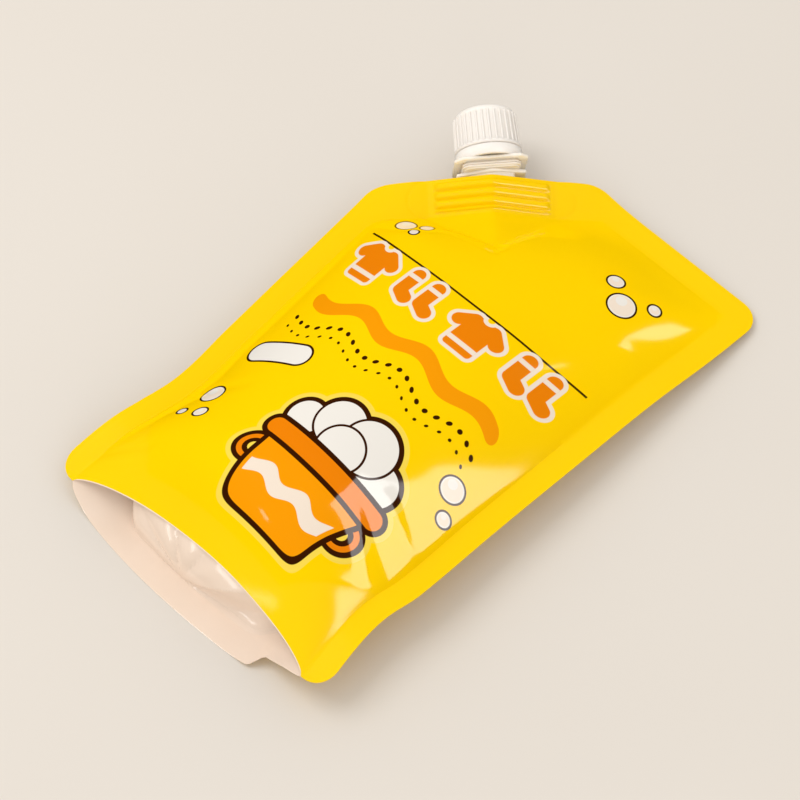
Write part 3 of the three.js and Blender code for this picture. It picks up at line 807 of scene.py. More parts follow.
# %% Inks and shapes for the print
INK_EDGE = 0.12
PALE_YELLOW = colour(242, 212, 80)
ORANGE = colour(242, 152, 4)
DEEP_ORANGE = colour(232, 128, 6)
CREAM = colour(236, 221, 204)
BROWN = colour(54, 22, 3)
WHITE = colour(233, 229, 222)


def disc(place, x, y, radius):
    return vector_math("DISTANCE", place, (x, y, 0), "Value") - radius


def bar(place, start, end, radius):
    way = Vector((*end, 0)) - Vector((*start, 0))
    apart = vector_math("SUBTRACT", place, (*start, 0))
    held = vector_math("DOT_PRODUCT", apart, way / way.length_squared, "Value").math("ADD", 0, clamp=True)
    nearest = held.node("ShaderNodeVectorMath", {"operation": "SCALE"}, {0: way, "Scale": held})
    return vector_math("DISTANCE", apart, nearest, "Value") - radius


def half_plane(place, x, y, angle):
    apart = vector_math("SUBTRACT", place, (x, y, 0))
    return vector_math("DOT_PRODUCT", apart, (math.cos(angle), math.sin(angle), 0), "Value")


def block(place, x, y, width, height, corner, turn=0):
    beside = abs(half_plane(place, x, y, turn)) - (width / 2 - corner)
    above = abs(half_plane(place, x, y, turn + math.pi / 2)) - (height / 2 - corner)
    past_x, past_y = higher(beside, 0), higher(above, 0)
    outside = (past_x * past_x + past_y * past_y).math("SQRT")
    return outside + lower(higher(beside, above), 0) - corner


def inked(below, shape, ink):
    cover = shape.math("MULTIPLY_ADD", -1 / INK_EDGE, 0.5, clamp=True)
    return mixed(cover, below, ink)


def outlined(below, shape, line, edge_ink, fill_ink):
    return inked(inked(below, shape - line, edge_ink), shape, fill_ink)


print("brown ink:", [round(c, 3) for c in BROWN[:3]])

# %% [markdown]
# The clothes line sags across the panel. Its row of shirts and socks repeats, so the place across the
# film is folded into one cell before the shapes are measured, and two shapes make the whole row.

# %% The clothes line
LINE_HEIGHT = 143
LINE_SAG = 7
LINE_HALF = 54
LINE_INK = 0.45
CLOTHES_PITCH = 54
CLOTHES_SCALE = 1.3
CLOTHES_OUTLINE = 1.2
SHIRT_BODY = (0, -8.8, 9.6, 14.4, 1.2)
SHIRT_SLEEVE = ((3.2, -3.6), (6.6, -6.6), 2.2)
SHIRT_COLLAR = (0, -0.6, 2.3)
SOCK_PLACES = (-5.4, 2.8)
SOCK_LEG = ((0, -3.2), (0, -10.2))
SOCK_FOOT = ((0, -11), (3.2, -12.6))
SOCK_RADIUS = 2.2
TRIM_HALF = 0.8
CUFF_DROP = 4.6
HEM_DROP = 13


def one_sock(place, x):
    parts = [[(x + aside, drop) for aside, drop in ends] for ends in (SOCK_LEG, SOCK_FOOT)]
    return lower(*[bar(place, *ends, SOCK_RADIUS) for ends in parts])


def clothes_line(u, v, below):
    share = u / LINE_HALF
    hang = v - (share * share * LINE_SAG + (LINE_HEIGHT - LINE_SAG))
    within = abs(u) - LINE_HALF
    below = inked(below, higher(abs(hang) - LINE_INK, within), BROWN)
    folded = (u + LINE_HALF) % CLOTHES_PITCH
    hang = hang / CLOTHES_SCALE
    shirt_place = joined(abs(folded - CLOTHES_PITCH / 4) / CLOTHES_SCALE, hang)
    shirt = lower(block(shirt_place, *SHIRT_BODY), bar(shirt_place, *SHIRT_SLEEVE))
    shirt = higher(shirt, -disc(shirt_place, *SHIRT_COLLAR))
    sock_place = joined((folded - CLOTHES_PITCH * 3 / 4) / CLOTHES_SCALE, hang)
    sock = lower(*[one_sock(sock_place, x) for x in SOCK_PLACES])
    clothes = lower(shirt, sock)
    below = inked(below, higher(clothes - CLOTHES_OUTLINE, within), CREAM)
    below = inked(below, higher(clothes, within), DEEP_ORANGE)
    cuff = higher(sock, abs(hang + CUFF_DROP) - TRIM_HALF)
    hem = higher(shirt, abs(hang + HEM_DROP) - TRIM_HALF)
    return inked(below, higher(lower(cuff, hem), within), CREAM)


print("a shirt and a pair of socks every", CLOTHES_PITCH, "mm on a line of", 2 * LINE_HALF, "mm")

# %% [markdown]
# Under the line runs a broad wave with two rows of dots that follow it. A wave is a straight bar on a
# film whose height has been swung by a sine, and a row of dots is one dot in a folded cell.

# %% The wave and the dotted lines
WAVE_PLACE = 104
WAVE_LENGTH = 30
WAVE_RISE = 2.4
WAVE_HALF = 3.4
WAVE_REACH = 44
DOT_PITCH = 4.4
DOT_REACH = 48
DOT_ROWS = [(93, 1.0), (88, 0.65)]


def wave_lines(u, v, below):
    swung_v = v - (u * (2 * math.pi / WAVE_LENGTH)).sine() * WAVE_RISE
    wave = bar(joined(u, swung_v), (-WAVE_REACH, WAVE_PLACE), (WAVE_REACH, WAVE_PLACE), WAVE_HALF)
    below = inked(below, wave, ORANGE)
    cell = joined(u % DOT_PITCH - DOT_PITCH / 2, swung_v)
    for height, radius in DOT_ROWS:
        dots = disc(cell, 0, height, radius)
        below = inked(below, higher(dots, abs(u) - DOT_REACH), BROWN)
    return below


print("dots in each row:", int(2 * DOT_REACH / DOT_PITCH))

# %% [markdown]
# The tub of foam is the largest motif. Two slanting half-planes and a rounded bottom make the tub, a
# block its rim, rings its handles, and discs the foam. One outline is drawn round all of them together,
# then each is inked in its turn, from the back to the front.

# %% The tub of foam
TUB_U = 16
TUB_TOP = 50
TUB_BOTTOM = 17
TUB_HALF = 24
TUB_SLANT = math.radians(10)
TUB_ROUNDING = 9
TUB_LINE = 1.9
RIM_OVERHANG = 4.5
RIM_HEIGHT = 7
RIM_CORNER = 3.4
HANDLE_HALF = TUB_HALF - 1
HANDLE_PLACE = 38
HANDLE_RADIUS = 5.2
HANDLE_INK = 1
STRIPE_LENGTH = 17
STRIPE_PLACE = 33
STRIPE_RISE = 1.8
STRIPE_HALF = 3.2
STRIPE_INSET = 1.6
FOAM = [(-4, 59, 7), (33, 59, 8), (8, 65, 9.5), (22, 66, 10.5), (15, 58, 9)]
FOAM_LINE = 0.9


def foam_tub(place, u, v, below):
    left = half_plane(place, TUB_U - TUB_HALF, TUB_TOP, math.pi + TUB_SLANT)
    right = half_plane(place, TUB_U + TUB_HALF, TUB_TOP, -TUB_SLANT)
    tub = higher(left, right).math("SMOOTH_MAX", TUB_BOTTOM - v, TUB_ROUNDING)
    tub = higher(tub, v - TUB_TOP)
    rim = block(place, TUB_U, TUB_TOP, 2 * (TUB_HALF + RIM_OVERHANG), RIM_HEIGHT, RIM_CORNER)
    handles = [disc(place, TUB_U + side * HANDLE_HALF, HANDLE_PLACE, HANDLE_RADIUS) for side in (-1, 1)]
    rings = abs(lower(*handles)) - HANDLE_INK
    foam = [disc(place, *bubble) for bubble in FOAM]
    whole = lower(tub, rim, rings, *foam)
    below = inked(below, whole - 2 * TUB_LINE, PALE_YELLOW)
    below = inked(below, whole - TUB_LINE, BROWN)
    below = inked(below, rings, DEEP_ORANGE)
    for bubble in foam:
        below = outlined(below, bubble, FOAM_LINE, BROWN, WHITE)
    below = outlined(below, tub, TUB_LINE, BROWN, ORANGE)
    swing = (u * (2 * math.pi / STRIPE_LENGTH)).sine() * STRIPE_RISE
    stripe = higher(tub + STRIPE_INSET, abs(v - STRIPE_PLACE - swing) - STRIPE_HALF)
    below = inked(below, stripe, CREAM)
    return outlined(below, rim, TUB_LINE, BROWN, DEEP_ORANGE)


print("the tub is", 2 * TUB_HALF, "mm wide and holds", len(FOAM), "bubbles")

# %% [markdown]
# Loose bubbles fill the bare corners, each with a white spot of shine, and a bare tag lies on the left.
# All bubbles share one distance, so one outline and one fill do for the lot.

# %% Loose bubbles and a bare tag
BUBBLES = [(-47, 154, 3.8), (-39.5, 157.5, 2.5), (-40, 150.8, 1.7), (50, 80, 4.2), (55, 71, 2.4),
           (-46, 50, 4.2), (-40, 40, 2.4), (-48, 38, 1.6), (36, 180, 5.0), (27, 187, 3.0), (44, 189, 2.2)]
BUBBLE_LINE = 0.7
SHINE = (-0.28, 0.3, 0.42)
SHINE_INSET = 0.5
TAG = (-37, 76, 27, 9.5, 4.6, math.radians(14))
TAG_LINE = 0.9


def bubbles_and_tag(place, below):
    rings = lower(*[disc(place, *bubble) for bubble in BUBBLES])
    below = outlined(below, rings, BUBBLE_LINE, BROWN, WHITE)
    aside, above, size = SHINE
    shine = lower(*[disc(place, x + aside * r, y + above * r, size * r) for x, y, r in BUBBLES])
    below = inked(below, higher(rings + SHINE_INSET, -shine), CREAM)
    return outlined(below, block(place, *TAG), TAG_LINE, BROWN, WHITE)


print(len(BUBBLES), "loose bubbles and a tag", TAG[2], "mm long")

# %% [markdown]
# The film is a glossy laminate. In the panels it mirrors the lamps sharply; in the heat seals a fine mesh
# was pressed in by the jaws, which breaks the mirror up into a glitter. The mesh is far too fine to
# model, so it is a bump. One function makes the finish of both panels, with or without the print.

# %% The finish of the film
FILM_SHADE = colour(252, 205, 0)
PANEL_ROUGHNESS = 0.07
SEAL_ROUGHNESS = 0.13
SEAL_EDGE = 0.5
MESH_PITCH = 0.7
MESH_RISE = 0.000009
SKIRT_SLOPE = (SKIRT_CORNER_HEIGHT - SKIRT_HEIGHT) / SKIRT_SPREAD


def film_finish(name, printed):
    material, shader, start = new_material(name, {})
    flat = start.node("ShaderNodeAttribute", {"attribute_name": "flat"}, {}, "Vector")
    u, v, inside = (flat.node("ShaderNodeSeparateXYZ", {}, {0: flat}, axis) for axis in "XYZ")
    place = joined(u, v)
    ink = mixed(noise(place, scale=0.03, detail=2.0), FILM_YELLOW, FILM_SHADE)
    if printed:
        ink = wave_lines(u, v, ink)
        ink = clothes_line(u, v, ink)
        ink = foam_tub(place, u, v, ink)
        ink = bubbles_and_tag(place, ink)
    ink.into(shader.inputs["Base Color"])
    skirt = higher(abs(u) - SKIRT_STRAIGHT * MM, 0) * SKIRT_SLOPE + SKIRT_HEIGHT * MM - v
    sealed = higher(-inside, skirt).math("MULTIPLY_ADD", 1 / SEAL_EDGE, 0.5, clamp=True)
    (PANEL_ROUGHNESS + sealed * (SEAL_ROUGHNESS - PANEL_ROUGHNESS)).into(shader.inputs["Roughness"])
    turn = math.pi / MESH_PITCH
    mesh = ((u + v) * turn).sine() * ((u - v) * turn).sine()
    patches = noise(place, scale=0.22, detail=3.0)
    bumped(shader, mesh * sealed * patches, MESH_RISE, strength=1.0)
    return material


film_finishes = [film_finish("printed_film", True), film_finish("plain_film", False)]
print("nodes in each film:", [len(finish.node_tree.nodes) for finish in film_finishes])

# %% [markdown]
# The inner side of the film is white and a little hazy, and the cut edges of the seals are paler than the
# print. Both drift between two near colours, in clouds that are fixed to the object, and so do the
# plastics and the floor later on, so that is one function. Then the pouch takes its finishes and its
# place: it moves with a body of the frame, and stands for the plain solid there.


# %% Lining, cut edge, and the pouch in its place
def clouded_finish(name, constants, light, shade, scale, detail=2.0):
    material, shader, start = new_material(name, constants)
    cloud = noise(start.node("ShaderNodeTexCoord", {}, {}, "Object"), scale, detail)
    mixed(cloud, colour(*light), colour(*shade)).into(shader.inputs["Base Color"])
    return material, shader, cloud


def lining_finish():
    material, shader, haze = clouded_finish("white_lining", {"Roughness": 0.12}, light=(240, 221, 204),
                                            shade=(235, 213, 193), scale=60.0, detail=3.0)
    bumped(shader, haze, distance=0.0005, strength=0.2)
    return material


def edge_finish():
    material, _, _ = clouded_finish("cut_edge", {"Roughness": 0.35}, light=(244, 214, 90),
                                    shade=(240, 206, 60), scale=900.0)
    return material


def stand_for(piece, body, node):
    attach(piece, body)
    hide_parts(node)


for finish in (*film_finishes, lining_finish(), edge_finish()):
    pouch.data.materials.append(finish)
stand_for(pouch, "filled_pouch", "pouch")
print("film finishes:", [finish.name for finish in pouch.data.materials])

# %% [markdown]
# The spout stands in its own frame: x out of the film, y along the cut edge, z along the spout. The frame
# comes from the same seam surface, and its axis is the axis on which the cap turns, so the two are
# compared.


# %% The spout's frame
def axes_at(place, x, y, z):
    return Matrix.Translation(Vector(place)) @ Matrix([x, y, z]).transposed().to_4x4()


def spout_frame():
    step = SPOUT_SEAL / 2
    u, v = np.array(SPOUT_U), np.array(SPOUT_V)
    origin = seam_point(u, v)
    edge = seam_point(u + step, v + step) - seam_point(u - step, v - step)
    axis = Vector(origin - seam_point(u + step, v - step)).normalized()
    normal = Vector(edge).cross(axis).normalized()
    axis = Matrix.Rotation(SPOUT_LEAN, 3, normal) @ axis
    return axes_at(origin + to_frame, normal, axis.cross(normal), axis)


SPOUT_PLACE = spout_frame()
drift = (SPOUT_PLACE.to_3x3().col[2] - Vector(cap_joint["axis"])).length
offset = (SPOUT_PLACE.translation - Vector(cap_joint["pos_m"])).length
print("spout frame against the cap's joint:", round(drift, 6), "and", round(MM * offset, 4), "mm")

# %% [markdown]
# The spout is one moulding. Its outline changes along its length: a long diamond with blunt ridges
# between the films, then flanges, a ribbed block and a round neck. Boxes and cylinders joined together
# would leave hard creases, so it is lofted through closed outlines, each given as a radius at the same
# even angles.

# %% Outlines for the rings of a loft
RING_POINTS = 192
RING_ANGLES = np.arange(RING_POINTS) * 2 * math.pi / RING_POINTS
BOAT_STEPS = 400
EDGE_ROUND = 0.00025


def by_angle(x, y):
    """Radius of a closed outline, given by its points, at each ring angle."""
    angle = np.unwrap(np.arctan2(y, x))
    order = np.argsort(angle)
    return np.interp(RING_ANGLES, angle[order], np.hypot(x, y)[order], period=2 * math.pi)


def plate_sides(width, height):
    cosine, sine = np.abs(np.cos(RING_ANGLES)), np.abs(np.sin(RING_ANGLES))
    sides = np.minimum(height / 2 / np.maximum(cosine, TINY), width / 2 / np.maximum(sine, TINY))
    return cosine, sine, sides


def rounded_plate(width, height, corner):
    """Rectangle with round corners, its width along y."""
    cosine, sine, sides = plate_sides(width, height)
    x, y = height / 2 - corner, width / 2 - corner
    ahead = x * cosine + y * sine
    arc = ahead + np.sqrt(np.maximum(ahead ** 2 - x * x - y * y + corner ** 2, 0))
    in_corner = (sides * cosine > x) & (sides * sine > y)
    return np.where(in_corner, arc, sides)


def cut_plate(width, height, corner):
    """Rectangle with cut corners, its width along y."""
    cosine, sine, sides = plate_sides(width, height)
    return np.minimum(sides, (width / 2 + height / 2 - corner) / (cosine + sine))


def boat(length, thickness):
    """A long diamond with blunt ridges, its length along y."""
    y = np.linspace(-length / 2, length / 2, BOAT_STEPS)
    x = thickness / 2 * (1 - np.sqrt((2 * y / length) ** 2 + RIDGE_ROUNDING ** 2) + RIDGE_ROUNDING)
    return by_angle(np.concatenate([x, -x[::-1]]), np.concatenate([y, y[::-1]]))


def slab(outline, low, high):
    """Rings of a plate with rounded edges, from one distance along the spout to another."""
    inset = outline - EDGE_ROUND
    return [(inset, low), (outline, low + EDGE_ROUND), (outline, high - EDGE_ROUND), (inset, high)]


print("rings of", RING_POINTS, "points, with edges of", MM * EDGE_ROUND, "mm")

# %% [markdown]
# A loft is a wall from each ring to the next. Rings that shrink to a point, or that come back to the
# first one, are merged there, so that the wall closes on itself and has a clear inside and outside.

# %% A loft through rings
MOULD_EDGE = math.radians(60)


def loft(name, rings):
    build = bmesh.new()
    circles = []
    for ring, along in rings:
        places = [(r * math.cos(a), r * math.sin(a), along) for r, a in zip(ring, RING_ANGLES)]
        circles.append([build.verts.new(place) for place in places])
    for here, beyond in zip(circles[:-1], circles[1:]):
        for k in range(RING_POINTS):
            build.faces.new((here[k - 1], here[k], beyond[k], beyond[k - 1])).smooth = True
    bmesh.ops.remove_doubles(build, verts=build.verts, dist=MERGE_DISTANCE)
    mesh = finished_mesh(name, build)
    mesh.set_sharp_from_angle(angle=MOULD_EDGE)
    return mesh


print("edges sharper than", round(math.degrees(MOULD_EDGE)), "degrees stay sharp")

# %% [markdown]
# The rings of the spout run up its outside, from the base in the film over the two flanges and the ribbed
# block between them to the rim of the neck, and back down the bore to where they started. Each plate has
# two rings close together at its edges, which rounds them.

# %% The spout, ring by ring
CLEARANCE = 0.0003
BASE_DEPTH = 0.013
COLLAR_WIDTH = 0.017
FLANGE = 0.0012
LOWER_FLANGE = (0.0260, 0.015)
UPPER_FLANGE = (0.0274, 0.021)
FLANGE_CORNER = 0.003
WAIST = (0.0206, 0.0160)
WAIST_LENGTH = 0.0028
WAIST_RIB = 0.0007
NECK_RADIUS = 0.0088
NECK_LENGTH = 0.0180
BORE_RADIUS = 0.0050

BASE_END = -BASE_LENGTH / 2 * math.sin(SPOUT_LEAN) - CLEARANCE
LOWER_START = LOWER_FLANGE[0] / 2 * math.sin(SPOUT_LEAN) + CLEARANCE
LOWER_END = LOWER_START + FLANGE
WAIST_END = LOWER_END + WAIST_LENGTH
UPPER_END = WAIST_END + FLANGE
NECK_END = UPPER_END + NECK_LENGTH


def ribbed_block():
    waist = rounded_plate(*WAIST, FLANGE_CORNER)
    rib = rounded_plate(*(side + 2 * WAIST_RIB for side in WAIST), FLANGE_CORNER)
    rings = [(waist, LOWER_END)]
    for third in (1, 2):
        middle = LOWER_END + third * WAIST_LENGTH / 3
        low, high = middle - WAIST_RIB / 2, middle + WAIST_RIB / 2
        rings += [(waist, low), *slab(rib, low, high), (waist, high)]
    return [*rings, (waist, WAIST_END)]


circle = np.ones(RING_POINTS)
base = boat(BASE_LENGTH, BASE_THICKNESS)
collar = np.minimum(base, cut_plate(COLLAR_WIDTH, BASE_THICKNESS, FLANGE_CORNER))
lower_flange = np.minimum(boat(BASE_LENGTH, LOWER_FLANGE[1]), cut_plate(*LOWER_FLANGE, FLANGE_CORNER))
upper_flange = cut_plate(*UPPER_FLANGE, FLANGE_CORNER)
base_rings = slab(base, -BASE_DEPTH, BASE_END)
spout_rings = [
    *base_rings,
    (collar, BASE_END), (collar, LOWER_START),
    *slab(lower_flange, LOWER_START, LOWER_END),
    *ribbed_block(),
    *slab(upper_flange, WAIST_END, UPPER_END),
    (NECK_RADIUS * circle, UPPER_END), (NECK_RADIUS * circle, NECK_END),
    (BORE_RADIUS * circle, NECK_END), (BORE_RADIUS * circle, -BASE_DEPTH),
    base_rings[0],
]
spout = new_object("moulded_spout", loft("moulded_spout", spout_rings))
spout.data.transform(SPOUT_PLACE)
print("spout rings:", len(spout_rings))

# %% [markdown]
# Caps of such packs are moulded in a soft white plastic with a satin skin. The spout is the same plastic
# without its white pigment, so it looks milky and a little warmer: more light goes into it. Neither piece
# shows in the gloss of the film.

# %% Plastics
ROUGHNESS_SPREAD = 0.12
GRAIN_RISE = 0.00004


def moulded_plastic(name, light, shade, roughness, depth):
    constants = {
        "Subsurface Weight": depth,
        "Subsurface Scale": 0.003,
        "Subsurface Radius": (1.0, 0.9, 0.8),
    }
    material, shader, flow = clouded_finish(name, constants, light, shade, scale=140.0, detail=4.0)
    (flow * ROUGHNESS_SPREAD + (roughness - ROUGHNESS_SPREAD / 2)).into(shader.inputs["Roughness"])
    grain = noise(flow.node("ShaderNodeTexCoord", {}, {}, "Object"), scale=2600.0, detail=2.0)
    bumped(shader, grain, GRAIN_RISE, strength=0.25)
    return material


cap_plastic = moulded_plastic("cap_plastic", (251, 245, 238), (248, 241, 233), roughness=0.38, depth=0.2)
spout_plastic = moulded_plastic("spout_plastic", (254, 243, 230), (252, 238, 223), roughness=0.34, depth=0.6)
spout.data.materials.append(spout_plastic)
spout.visible_glossy = False
stand_for(spout, "filled_pouch", "spout")
print("plastics:", cap_plastic.name, spout_plastic.name)

# %% [markdown]
# The cap and its tamper band have parts that repeat round them: grip ribs on the cap, and the little
# bridges that tie the band to it. A Geometry Nodes tree makes such a ring of rods: one rod is drawn along
# a line and set on every point of a circle. The same tree, with other sizes, makes ribs and bridges. The
# evaluated result is kept as a plain mesh.

# %% A ring of rods, as Geometry Nodes
ROD_SIDES = 10
ROD_SIZES = ["Radius", "Start", "End", "Rod", "Taper"]
ROD_INPUTS = {"Count": "NodeSocketInt", **dict.fromkeys(ROD_SIZES, "NodeSocketFloat"),
              "Finish": "NodeSocketMaterial"}


def rod_ring_tree():
    tree = bpy.data.node_groups.new("rod_ring", "GeometryNodeTree")
    tree.is_modifier = True
    for name, kind in ROD_INPUTS.items():
        tree.interface.new_socket(name, in_out="INPUT", socket_type=kind)
    tree.interface.new_socket("Geometry", in_out="OUTPUT", socket_type="NodeSocketGeometry")
    inputs = tree.nodes.new("NodeGroupInput").outputs
    given = {name: Socket(tree, inputs[name]) for name in ROD_INPUTS}
    node = given["Count"].node
    ring = node("GeometryNodeMeshCircle", {}, {"Vertices": given["Count"], "Radius": given["Radius"]})
    low = node("ShaderNodeCombineXYZ", {}, {"Z": given["Start"]})
    high = node("ShaderNodeCombineXYZ", {}, {"X": given["Taper"], "Z": given["End"]})
    line = node("GeometryNodeCurvePrimitiveLine", {}, {"Start": low, "End": high})
    round_section = {"Resolution": ROD_SIDES, "Radius": given["Rod"]}
    section = node("GeometryNodeCurvePrimitiveCircle", {}, round_section)
    rod = node("GeometryNodeCurveToMesh", {}, {"Curve": line, "Profile Curve": section, "Fill Caps": True})
    place = node("GeometryNodeInputPosition", {}, {})
    facing = node("FunctionNodeAlignEulerToVector", {"axis": "X", "pivot_axis": "Z"}, {"Vector": place})
    rods = node("GeometryNodeInstanceOnPoints", {}, {"Points": ring, "Instance": rod, "Rotation": facing})
    solid = node("GeometryNodeRealizeInstances", {}, {"Geometry": rods})
    smooth = node("GeometryNodeSetShadeSmooth", {}, {"Geometry": solid})
    finished = node("GeometryNodeSetMaterial", {}, {"Geometry": smooth, "Material": given["Finish"]})
    finished.into(tree.nodes.new("NodeGroupOutput").inputs["Geometry"])
    return tree


ROD_RING = rod_ring_tree()


def rod_ring(name, **wanted):
    holder = new_object(name, bpy.data.meshes.new(name))
    modifier = holder.modifiers.new("rods", "NODES")
    modifier.node_group = ROD_RING
    for item in ROD_RING.interface.items_tree:
        if item.in_out == "INPUT":
            modifier[item.identifier] = wanted[item.name]
    seen = holder.evaluated_get(bpy.context.evaluated_depsgraph_get())
    mesh = bpy.data.meshes.new_from_object(seen)
    bpy.data.objects.remove(holder)
    print(name, "has", len(mesh.polygons), "faces")
    return mesh


print("inputs of the ring:", list(ROD_INPUTS))

# %% [markdown]
# A turned piece is a profile swept round the axis. The cap's profile has a smooth lip, a wall that tapers
# a little, a round shoulder and a top that is very slightly domed; inside, it is a plain cup.

# %% Sizes and profiles of the cap and the tamper band
CAP_RADIUS = 0.0125
CAP_HEIGHT = 0.01615
CAP_TAPER = 0.00045
CAP_SHOULDER = 0.0030
CAP_LIP = 0.0013
CAP_WALL = 0.0016
CAP_DOME = 0.0003
SHOULDER_STEPS = 8
RIB_COUNT = 32
RIB_DEPTH = 0.0006
RIB_ROD = 0.00045
BAND_HEIGHT = 0.00415
BAND_WALL = 0.0015
TEAR_SLIT = 0.00035
BRIDGE_COUNT = 10
THREAD_CLEARANCE = 0.0005

BAND_START = UPPER_END + CLEARANCE / 6
BAND_END = BAND_START + BAND_HEIGHT
CAP_START = BAND_END + TEAR_SLIT
CAP_END = CAP_START + CAP_HEIGHT


def rounded_wall(inner, outer, low, high):
    """The rounded foot of a turned wall, and its outside up to the rounded top edge."""
    foot = [(inner, low + EDGE_ROUND), (inner + EDGE_ROUND, low), (outer - EDGE_ROUND, low)]
    return [*foot, (outer, low + EDGE_ROUND), (outer, high - EDGE_ROUND), (outer - EDGE_ROUND, high)]


def cap_profile():
    wall = CAP_RADIUS - RIB_DEPTH
    head = wall - CAP_TAPER
    inner = NECK_RADIUS + THREAD_CLEARANCE
    ceiling = CAP_END - CAP_WALL
    lip_top = CAP_START + CAP_LIP
    brow = CAP_END - CAP_DOME
    shoulder = [(head - CAP_SHOULDER * (1 - math.cos(turn)), brow - CAP_SHOULDER * (1 - math.sin(turn)))
                for turn in even_steps(SHOULDER_STEPS) * math.pi / 2]
    return [
        (0, ceiling), (inner, ceiling),
        *rounded_wall(inner, CAP_RADIUS, CAP_START, lip_top), (wall, lip_top + EDGE_ROUND),
        *shoulder, (head / 2, CAP_END - CAP_DOME / 3), (0, CAP_END),
    ]


def band_profile():
    inner = CAP_RADIUS - BAND_WALL
    outside = rounded_wall(inner, CAP_RADIUS, BAND_START, BAND_END)
    return [*outside, (inner + EDGE_ROUND, BAND_END), (inner, BAND_END - EDGE_ROUND), outside[0]]


print("profiles of", len(cap_profile()), "and", len(band_profile()), "points")

# %% [markdown]
# Now the profiles are turned, the ribs and bridges are added, and each piece is set on the spout, with
# one finish for all its faces. The cap rides on the body that the joint turns; the band stays on the
# neck. The bridges end short of the cap, so that it can turn over them.


# %% The cap and the tamper band
def turned(name, profile):
    return loft(name, [(radius * circle, along) for radius, along in profile])


def set_on_spout(name, *meshes):
    build = bmesh.new()
    for mesh in meshes:
        build.from_mesh(mesh)
    for face in build.faces:
        face.material_index = 0
    whole = finished_mesh(name, build)
    whole.transform(SPOUT_PLACE)
    whole.materials.append(cap_plastic)
    piece = new_object(name, whole)
    piece.visible_glossy = False
    return piece


ribs = rod_ring("grip_ribs", Count=RIB_COUNT, Radius=CAP_RADIUS - RIB_ROD, Rod=RIB_ROD, Taper=-CAP_TAPER,
                Start=CAP_START + CAP_LIP / 2, End=CAP_END - CAP_SHOULDER, Finish=cap_plastic)
bridges = rod_ring("bridges", Count=BRIDGE_COUNT, Radius=CAP_RADIUS - BAND_WALL / 2, Rod=BAND_WALL / 3,
                   Taper=0.0, Start=BAND_END - EDGE_ROUND, End=CAP_START - CLEARANCE / 2,
                   Finish=cap_plastic)
cap = set_on_spout("ribbed_cap", turned("cap_body", cap_profile()), ribs)
band = set_on_spout("tear_band", turned("band_body", band_profile()), bridges)
stand_for(cap, "cap", "screw_cap")
stand_for(band, "filled_pouch", "tamper_band")
print("cap and band reach", round(MM * (CAP_END - BAND_START), 2), "mm along the spout")

# %% [markdown]
# The pouch lies on a plain pale floor, under a pale world that fills the shadows. Both stay out of the
# film's gloss, because a film that mirrors white all over loses its colour.

# %% Floor and world
FLOOR_HALF = 2.0
FLOOR_DROP = 0.0001
WORLD_COLOUR = (1, 0.97, 0.93, 1)
WORLD_STRENGTH = 0.92


def pale_floor():
    mesh = bpy.data.meshes.new("pale_floor")
    corners = [(-1, -1), (1, -1), (1, 1), (-1, 1)]
    points = [(x * FLOOR_HALF, y * FLOOR_HALF, -FLOOR_DROP) for x, y in corners]
    mesh.from_pydata(points, [], [range(len(points))])
    paint, _, _ = clouded_finish("floor_paint", {"Roughness": 0.6}, light=(222, 216, 208),
                                 shade=(218, 211, 202), scale=5.0)
    mesh.materials.append(paint)
    floor = new_object("pale_floor", mesh)
    floor.visible_glossy = False
    floor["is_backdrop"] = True


def pale_world():
    world = bpy.data.worlds.new("studio")
    bpy.context.scene.world = world
    world.use_nodes = True
    sky = world.node_tree.nodes["Background"]
    sky.inputs["Color"].default_value = WORLD_COLOUR
    sky.inputs["Strength"].default_value = WORLD_STRENGTH
    world.cycles_visibility.glossy = False


pale_floor()
pale_world()
bpy.context.scene.view_settings.view_transform = "Standard"
print("world at", WORLD_STRENGTH, "over a floor of", 2 * FLOOR_HALF, "m")

# %% [markdown]
# A studio lights glossy film with two kinds of lamp. A big soft key, high on the left, and a weak fill,
# low under the camera, give form and a soft shadow, and would only wash the gloss out. A long window and
# three small lamps are what the film mirrors. So each lamp here does one of the two, and the highlights
# can be set without changing the light.

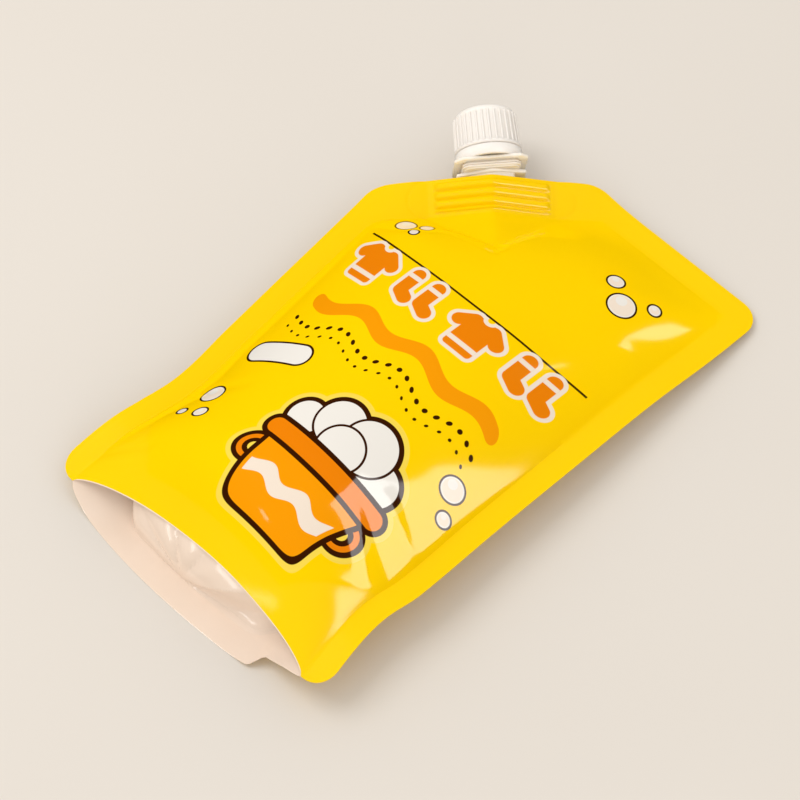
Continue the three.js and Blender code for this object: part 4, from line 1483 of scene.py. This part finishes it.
# %% Lamps
LAMPS = [
    ("key", (-0.72, -0.3, 1.2), (0, 1, 0), (0.8, 0.8), 6.6),
    ("front_fill", (0.75, -0.75, 0.35), (0, 0, 1), (0.5, 0.5), 1.0),
]
MIRROR_GLOW = 4.6
WINDOW_WAY = (0.785, 0.074, -0.616)
MIRRORED = [
    ("side_window", (0.757, 0.267, 0.641), (1.05, 0.4)),
    ("far_window", (0.34, 0.765, 0.55), (0.12, 0.12)),
    ("front_lamp", (-0.17, -0.73, 0.66), (0.08, 0.08)),
    ("low_lamp", (-0.30, -0.92, 0.06), (0.26, 0.08)),
]


def area_lamp(name, place, long_side, size, power, mirrored=False):
    """A lamp that faces the pouch, with its longer side lying as near as can be along a direction."""
    lamp = bpy.data.lights.new(name, "AREA")
    lamp.shape = "RECTANGLE"
    lamp.size, lamp.size_y = size
    lamp.energy = power
    out = Vector(place).normalized()
    short_side = out.cross(Vector(long_side)).normalized()
    holder = new_object(name, lamp)
    holder.matrix_world = axes_at(place, short_side.cross(out), short_side, out)
    holder.visible_camera = False
    holder.visible_glossy = mirrored
    holder.visible_diffuse = not mirrored


for lamp in LAMPS:
    area_lamp(*lamp)
for name, place, size in MIRRORED:
    area_lamp(name, place, WINDOW_WAY, size, MIRROR_GLOW * math.pi * size[0] * size[1], mirrored=True)

# %% [markdown]
# The camera stands where the photograph was taken from: well above the pouch, off its lower right, with a
# long lens. Its angles and distance were found by laying the pouch's outline over the picture.

# %% Camera
CAMERA_AZIMUTH = math.radians(43.87)
CAMERA_ELEVATION = math.radians(57.47)
CAMERA_DISTANCE = 0.825
CAMERA_AIM = Vector((-0.00268, -0.00091, -0.00133))
SENSOR = 36
LENS = 104.6

right = Vector((math.cos(CAMERA_AZIMUTH), math.sin(CAMERA_AZIMUTH), 0))
ahead = Vector((-math.sin(CAMERA_AZIMUTH), math.cos(CAMERA_AZIMUTH), 0))
towards = Vector((0, 0, math.sin(CAMERA_ELEVATION))) - math.cos(CAMERA_ELEVATION) * ahead
camera_data = bpy.data.cameras.new("camera")
camera_data.sensor_width = SENSOR
camera_data.lens = LENS
camera = new_object("camera", camera_data)
camera_place = CAMERA_AIM + CAMERA_DISTANCE * towards
camera.matrix_world = axes_at(camera_place, right, towards.cross(right), towards)
bpy.context.scene.camera = camera
print("camera at", [round(x, 3) for x in camera_place])

# %% [markdown]
# Last, the visual model's box is written beside the frame's, to see that nothing has outgrown it.

# %% Compare the boxes and finish
made_low, made_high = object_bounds()
growth = [*(cad_low - made_low), *(made_high - cad_high)]
print("grew by mm:", [round(MM * x, 2) for x in growth])
